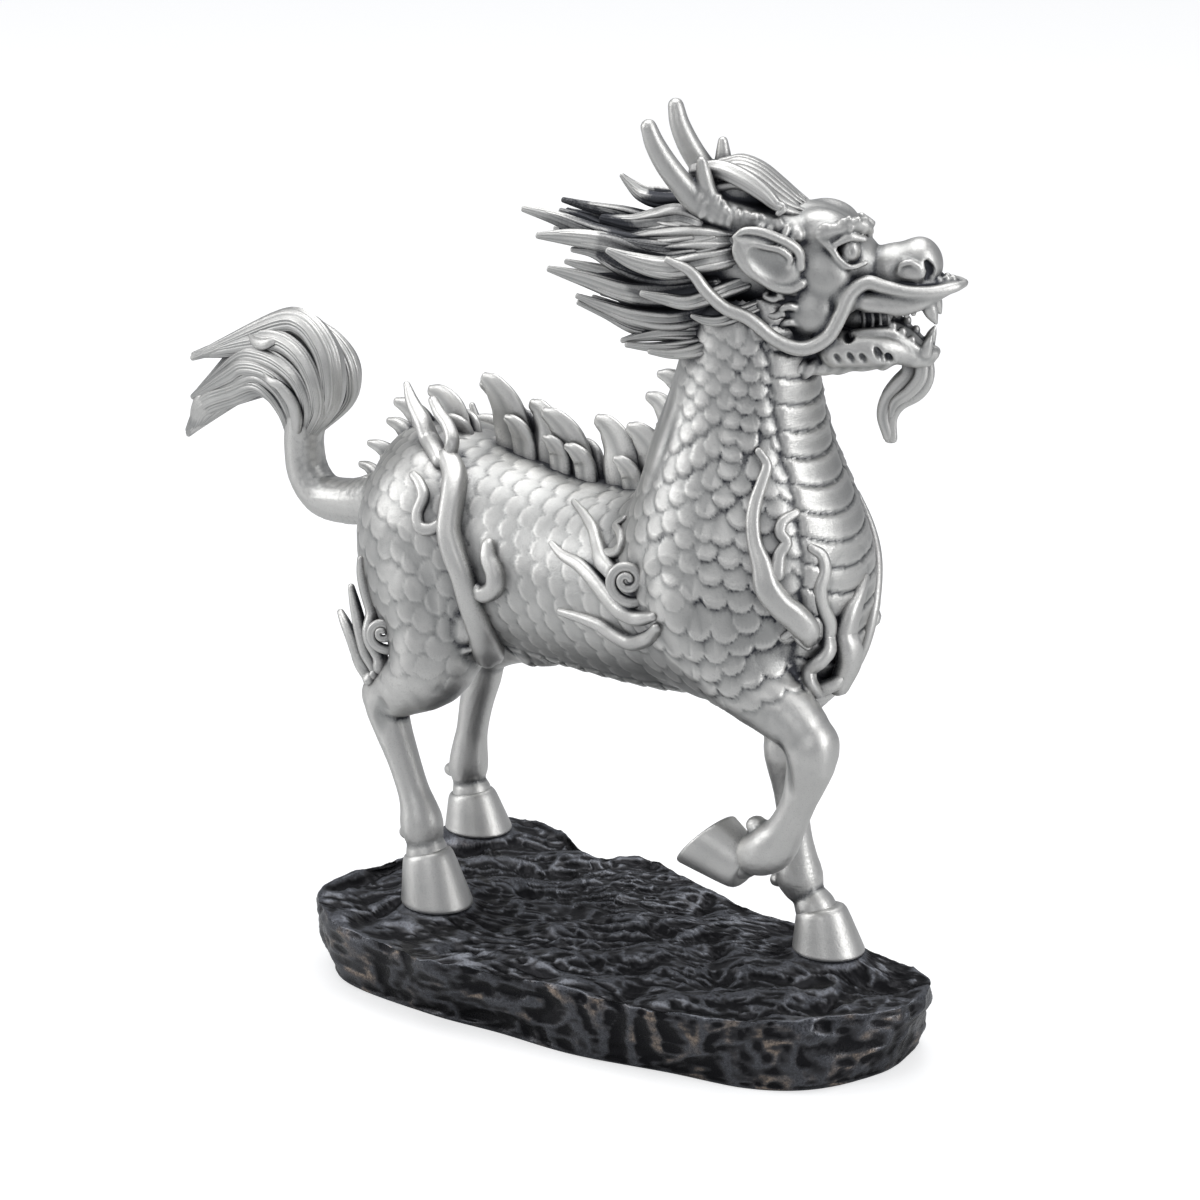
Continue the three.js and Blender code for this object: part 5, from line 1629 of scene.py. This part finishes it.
def pewter_finish():
    """Satin pewter: dark patina in the hollows, painted shade where the casting is crowded, worn bright on
    what stands proud, and a fine cast grain.
    """
    tree = bpy.data.node_groups.new("pewter finish", "ShaderNodeTree")
    hollow, painted_crowd_shade = stored(tree, "hollow"), stored(tree, "painted_crowd_shade")
    fine, broad = grain(tree, 0.35, 3), grain(tree, 7, 3)
    blotch = spread(tree, broad, 0.35, 0.7, -0.12, 0.14)
    proud = maths(tree, "ADD", spread(tree, hollow, 0.15, -0.8), blotch)
    speck = spread(tree, fine, 0.3, 0.72, -0.24, 0.24)
    # Painted shade: where other skin crowds in front, the colour goes towards black as in the patina's
    # hollows.
    deep = maths(tree, "ADD", spread(tree, hollow, 0.2, 1.6, 0, 0.75), maths(tree, "MULTIPLY", painted_crowd_shade, 1.1))
    deep = maths(tree, "ADD", deep, maths(tree, "MULTIPLY", stored(tree, "seams"), 0.42))
    deep = maths(tree, "ADD", deep, maths(tree, "MULTIPLY", speck, 0.5))
    skin = between(tree, TARNISHED, WORN, maths(tree, "ADD", proud, speck))
    colour = between(tree, skin, PATINA_AND_SHADE_BLACK, maths(tree, "MINIMUM", deep, 0.93))
    rough = maths(tree, "ADD", spread(tree, deep, 0, 1, 0.46, 0.6), maths(tree, "MULTIPLY", speck, 0.25))
    # Fine level lines run across the throat's plates.
    lines = maths(tree, "MULTIPLY", grain(tree, 0.9, 2, (0.1, 0.1, 2.2)), stored(tree, "plates"))
    rise = maths(tree, "ADD", fine, maths(tree, "MULTIPLY", grain(tree, 1.4, 2), 0.6))
    return put_out(tree, colour, rough, maths(tree, "ADD", rise, maths(tree, "MULTIPLY", lines, 2)))


# The rock in its hollows, on its faces, rubbed along its crests, and the copper-tinted painted highlights on
# its sides.
ROCK_BLACK = (0.014, 0.014, 0.016, 1)
ROCK_DARK = (0.052, 0.052, 0.056, 1)
ROCK_RUBBED = (0.17, 0.178, 0.2, 1)
PAINTED_COPPER_HIGHLIGHT = (0.34, 0.275, 0.225, 1)


def rock_finish():
    """Blackened metal, rubbed to blue-grey along its crests, with copper-tinted painted highlights along its
    sides.
    """
    tree = bpy.data.node_groups.new("rock finish", "ShaderNodeTree")
    hollow, side = stored(tree, "hollow"), stored(tree, "side")
    fine = grain(tree, 0.5, 4)
    ridge = maths(tree, "MULTIPLY", spread(tree, hollow, -0.3, -1.2), spread(tree, fine, 0.35, 0.6, 0.35, 1))
    # Painted highlights: copper-tinted patches on the side faces, standing in for the lamps' glints.
    painted_copper_highlight = maths(tree, "MULTIPLY", spread(tree, grain(tree, 7, 2), 0.52, 0.62), side)
    plain_side = maths(tree, "MULTIPLY", side, maths(tree, "SUBTRACT", 1, painted_copper_highlight))
    ridge = maths(tree, "MULTIPLY", ridge, spread(tree, plain_side, 0, 1, 1, 0.45))
    rubbed_and_highlight = between(tree, ROCK_RUBBED, PAINTED_COPPER_HIGHLIGHT, painted_copper_highlight)
    skin = between(tree, ROCK_BLACK, ROCK_DARK, spread(tree, hollow, 0.5, -0.2))
    glossy = maths(tree, "MULTIPLY", side, 0.15)
    rough = maths(tree, "SUBTRACT", spread(tree, fine, 0.3, 0.7, 0.3, 0.46), glossy)
    rise = maths(tree, "ADD", fine, grain(tree, 2.2, 3))
    return put_out(tree, between(tree, skin, rubbed_and_highlight, ridge), rough, rise)


# How deep the finishes' bumps are.
BUMP_DEPTH = 0.1 * MM


def metal(name, finish, bump, metallic):
    """A material that takes its colour, roughness and bumps from a finish's node group."""
    material = bpy.data.materials.new(name)
    material.use_nodes = True
    tree = material.node_tree
    shader = tree.nodes["Principled BSDF"]
    shader.inputs["Metallic"].default_value = metallic
    look = tree.nodes.new("ShaderNodeGroup")
    look.node_tree = finish
    rise = linked(tree, "ShaderNodeBump", Height=look.outputs["Height"], Strength=bump, Distance=BUMP_DEPTH)
    tree.links.new(look.outputs["Colour"], shader.inputs["Base Color"])
    tree.links.new(look.outputs["Roughness"], shader.inputs["Roughness"])
    tree.links.new(rise.outputs["Normal"], shader.inputs["Normal"])
    return material


# Pieces


def set_up(name, data):
    """An object of that name in the scene."""
    thing = bpy.data.objects.new(name, data)
    bpy.context.scene.collection.objects.link(thing)
    return thing


def piece(name, points, faces, normals, marks, node, material):
    """One visible piece of the object, in the frame's metres."""
    mesh = bpy.data.meshes.new(name)
    used, index = np.unique(faces, return_inverse=True)
    faces = index.reshape(-1, 3)
    mesh.vertices.add(len(used))
    mesh.vertices.foreach_set("co", ((points[used] + (0, 0, HOOF_PLANE)) * MM).ravel())
    mesh.loops.add(faces.size)
    mesh.loops.foreach_set("vertex_index", faces.ravel())
    mesh.polygons.add(len(faces))
    mesh.polygons.foreach_set("loop_start", np.arange(0, faces.size, 3))
    mesh.polygons.foreach_set("use_smooth", np.ones(len(faces), bool))
    mesh.update(calc_edges=True)
    mesh.normals_split_custom_set_from_vertices(normals[used])
    for label, values in marks.items():
        mark = mesh.attributes.new(label, "FLOAT", "POINT")
        mark.data.foreach_set("value", values[used].astype(np.float32))
    mesh.materials.append(material)
    thing = set_up(name, mesh)
    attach(thing, "root")
    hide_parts(node)


# How far below the outermost locks the mane's painted shade starts, how soon it is dark, and how dark.
LOCKS_LIT = 1.4
LOCKS_FADE = 3.4
LOCKS_DARK = 0.92
# The outermost hair is looked for on a grid of this cell, over this many cells round each point.
HAIR_CELL = 0.6
HAIR_ROUNDS = 3


def sunk(points):
    """How far each point of the hair lies below the outermost hair beside it, on its own side."""
    place = np.round((points[:, [0, 2]] - points[:, [0, 2]].min(0)) / HAIR_CELL).astype(int) + 1
    far = (points[:, 1] > 0).astype(int)
    outermost = np.zeros((2, *(place.max(0) + 2)))
    at = (far, place[:, 0], place[:, 1])
    np.maximum.at(outermost, at, np.abs(points[:, 1]))
    for _ in range(HAIR_ROUNDS):
        for axis in (1, 2):
            beside = np.maximum(np.roll(outermost, 1, axis), np.roll(outermost, -1, axis))
            outermost = np.maximum(outermost, beside)
    return outermost[at] - np.abs(points[:, 1])


# How crowded the casting is where the painted shade starts, and over what span it is all dark.
CROWD_SHADE_FROM, CROWD_SHADE_SPAN = 0.07, 0.38


def look_marks(name, points, faces, normals, seams, crowd_shade_grid, depth, rounds):
    """The values that the pewter's finish reads from a piece's corners."""
    narrow = hollowness(points, faces, normals, rounds, depth)
    wide = hollowness(points, faces, normals, rounds * 5, depth * 2.6)
    # Painted shade where other skin crowds in front of a corner.
    painted_crowd_shade = ramp(crowd_shade_grid.at(points, normals), CROWD_SHADE_FROM, CROWD_SHADE_SPAN)
    # In the mane, painted shade deepens with the hair's depth below its outermost locks.
    if name == "mane":
        below = sunk((points - HEAD_PLACE) @ head_turn())
        painted_crowd_shade = np.maximum(painted_crowd_shade, np.clip((below - LOCKS_LIT) / LOCKS_FADE, 0, LOCKS_DARK))
    plates = plate_mask(points, normals) if name == "body" else np.zeros(len(points))
    hollow = np.clip(0.7 * narrow + 0.5 * wide, -1.5, 1.5)
    return {"hollow": hollow, "painted_crowd_shade": painted_crowd_shade, "plates": plates, "seams": seams}


# Where the two largest meshes are cut across, counted ahead.
CUTS = {"body": (-30, 12), "head": (44,)}


def split_ahead(name, points, faces):
    """A mesh as (name, faces), a large one in bands from tail to head."""
    if name not in CUTS:
        return [(name, faces)]
    middle = points[faces].mean(1)[:, 0]
    edges = [-math.inf, *CUTS[name], math.inf]
    bands = [faces[(middle >= a) & (middle < b)] for a, b in zip(edges, edges[1:])]
    return [(f"{name}_{i}", band) for i, band in enumerate(bands, 1)]


def figure_shapes():
    """The corners and triangles of all the animal's pieces, and the seams between the body's scales."""
    clay = body_clay()
    points, faces = clay.skin()
    scaled, seams = relief(clay, points, faces)
    shapes = {"body": (scaled, faces)}
    head = head_clay()
    of_head = {"head": head.skin(), "mane": mane(head), "top_hair": top_hair(), "beard": beard()}
    for name, (points, faces) in of_head.items():
        shapes[name] = (set_on_neck(points), faces)
    shapes["tail_tuft"] = tuft()
    shapes["crest"] = crest()
    shapes["flames"] = flames(clay)
    shapes["hooves"] = hooves()
    return shapes, seams


def build_figure():
    pewter = metal("pewter", pewter_finish(), 0.35, 1.0)
    shapes, seams = figure_shapes()
    crowd_shade_grid = PaintedCrowdShade(shapes.values())
    for name, (points, faces) in shapes.items():
        normals = corner_normals(points, faces)
        rounds, depth = (3, 0.07) if name in ("body", "head") else (2, 0.12)
        edges = seams if name == "body" else np.zeros(len(points))
        marks = look_marks(name, points, faces, normals, edges, crowd_shade_grid, depth, rounds)
        for label, share in split_ahead(name, points, faces):
            piece(label, points, share, normals, marks, "qilin_figure", pewter)


def build_rock():
    points, faces = rock()
    normals = corner_normals(points, faces)
    narrow = hollowness(points, faces, normals, 6, 0.1)
    wide = hollowness(points, faces, normals, 24, 0.35)
    marks = {
        "hollow": np.clip(narrow + 0.35 * wide, -1.5, 1.5),
        "side": np.clip(1.2 - 1.6 * np.abs(normals[:, 2]), 0, 1),
    }
    piece("rock", points, faces, normals, marks, "rock_base", metal("rock", rock_finish(), 0.5, 0.85))


# Studio


FLOOR_HALF = 4.0
FLOOR_GLOW = 0.62
AIM = Vector((-16.14, 12.39, 75.37)) * MM
CAMERA_AZIMUTH = 40
CAMERA_ELEVATION = 18.5
CAMERA_AWAY = 0.9
LENS, SENSOR = 135, 36
# Softboxes in metres and watts: place, width and height, and power.
SOFTBOXES = {
    "top softbox": ((-0.15, 0.1, 1.1), (1.0, 1.0), 8),
    "left softbox": ((-0.95, -0.75, 0.6), (0.5, 0.9), 5),
    "right softbox": ((0.95, 0.15, 0.55), (0.3, 0.9), 4),
    "front softbox": ((0.35, -1.3, 0.75), (0.6, 0.4), 1.5),
}


def floor():
    """A pale floor that looks white to the camera, with soft shadows left on it."""
    h = FLOOR_HALF
    mesh = bpy.data.meshes.new("floor")
    mesh.from_pydata([(-h, -h, 0), (h, -h, 0), (h, h, 0), (-h, h, 0)], [], [(0, 1, 2, 3)])
    material = bpy.data.materials.new("white floor")
    material.use_nodes = True
    tree = material.node_tree
    shader = tree.nodes["Principled BSDF"]
    shader.inputs["Base Color"].default_value = (0.6, 0.605, 0.61, 1)
    shader.inputs["Roughness"].default_value = 0.28
    shader.inputs["Specular IOR Level"].default_value = 0.35
    shader.inputs["Emission Strength"].default_value = FLOOR_GLOW
    path = tree.nodes.new("ShaderNodeLightPath")
    feed(tree, shader.inputs["Emission Color"], path.outputs["Is Camera Ray"])
    mesh.materials.append(material)
    thing = set_up("floor", mesh)


def softbox(name, place, size, power):
    light = bpy.data.lights.new(name, "AREA")
    light.shape = "RECTANGLE"
    light.size, light.size_y = size
    light.energy = power
    thing = set_up(name, light)
    thing.location = place
    thing.rotation_euler = (Vector(place) - AIM).to_track_quat("Z", "Y").to_euler()


def studio():
    floor()
    for name, (place, size, power) in SOFTBOXES.items():
        softbox(name, place, size, power)
    world = bpy.data.worlds.new("pale studio")
    world.use_nodes = True
    sky = world.node_tree.nodes["Background"]
    sky.inputs["Color"].default_value = (0.93, 0.95, 1, 1)
    sky.inputs["Strength"].default_value = 0.32
    bpy.context.scene.world = world
    bpy.context.scene.view_settings.view_transform = "Standard"


def camera():
    azimuth, elevation = math.radians(CAMERA_AZIMUTH), math.radians(CAMERA_ELEVATION)
    level = math.cos(elevation)
    back = Vector((math.sin(azimuth) * level, -math.cos(azimuth) * level, math.sin(elevation)))
    lens = bpy.data.cameras.new("camera")
    lens.lens = LENS
    lens.sensor_width = SENSOR
    lens.clip_start = 0.01
    thing = set_up("camera", lens)
    thing.location = AIM + back * CAMERA_AWAY
    thing.rotation_euler = back.to_track_quat("Z", "Y").to_euler()
    bpy.context.scene.camera = thing


build_figure()
build_rock()
studio()
camera()
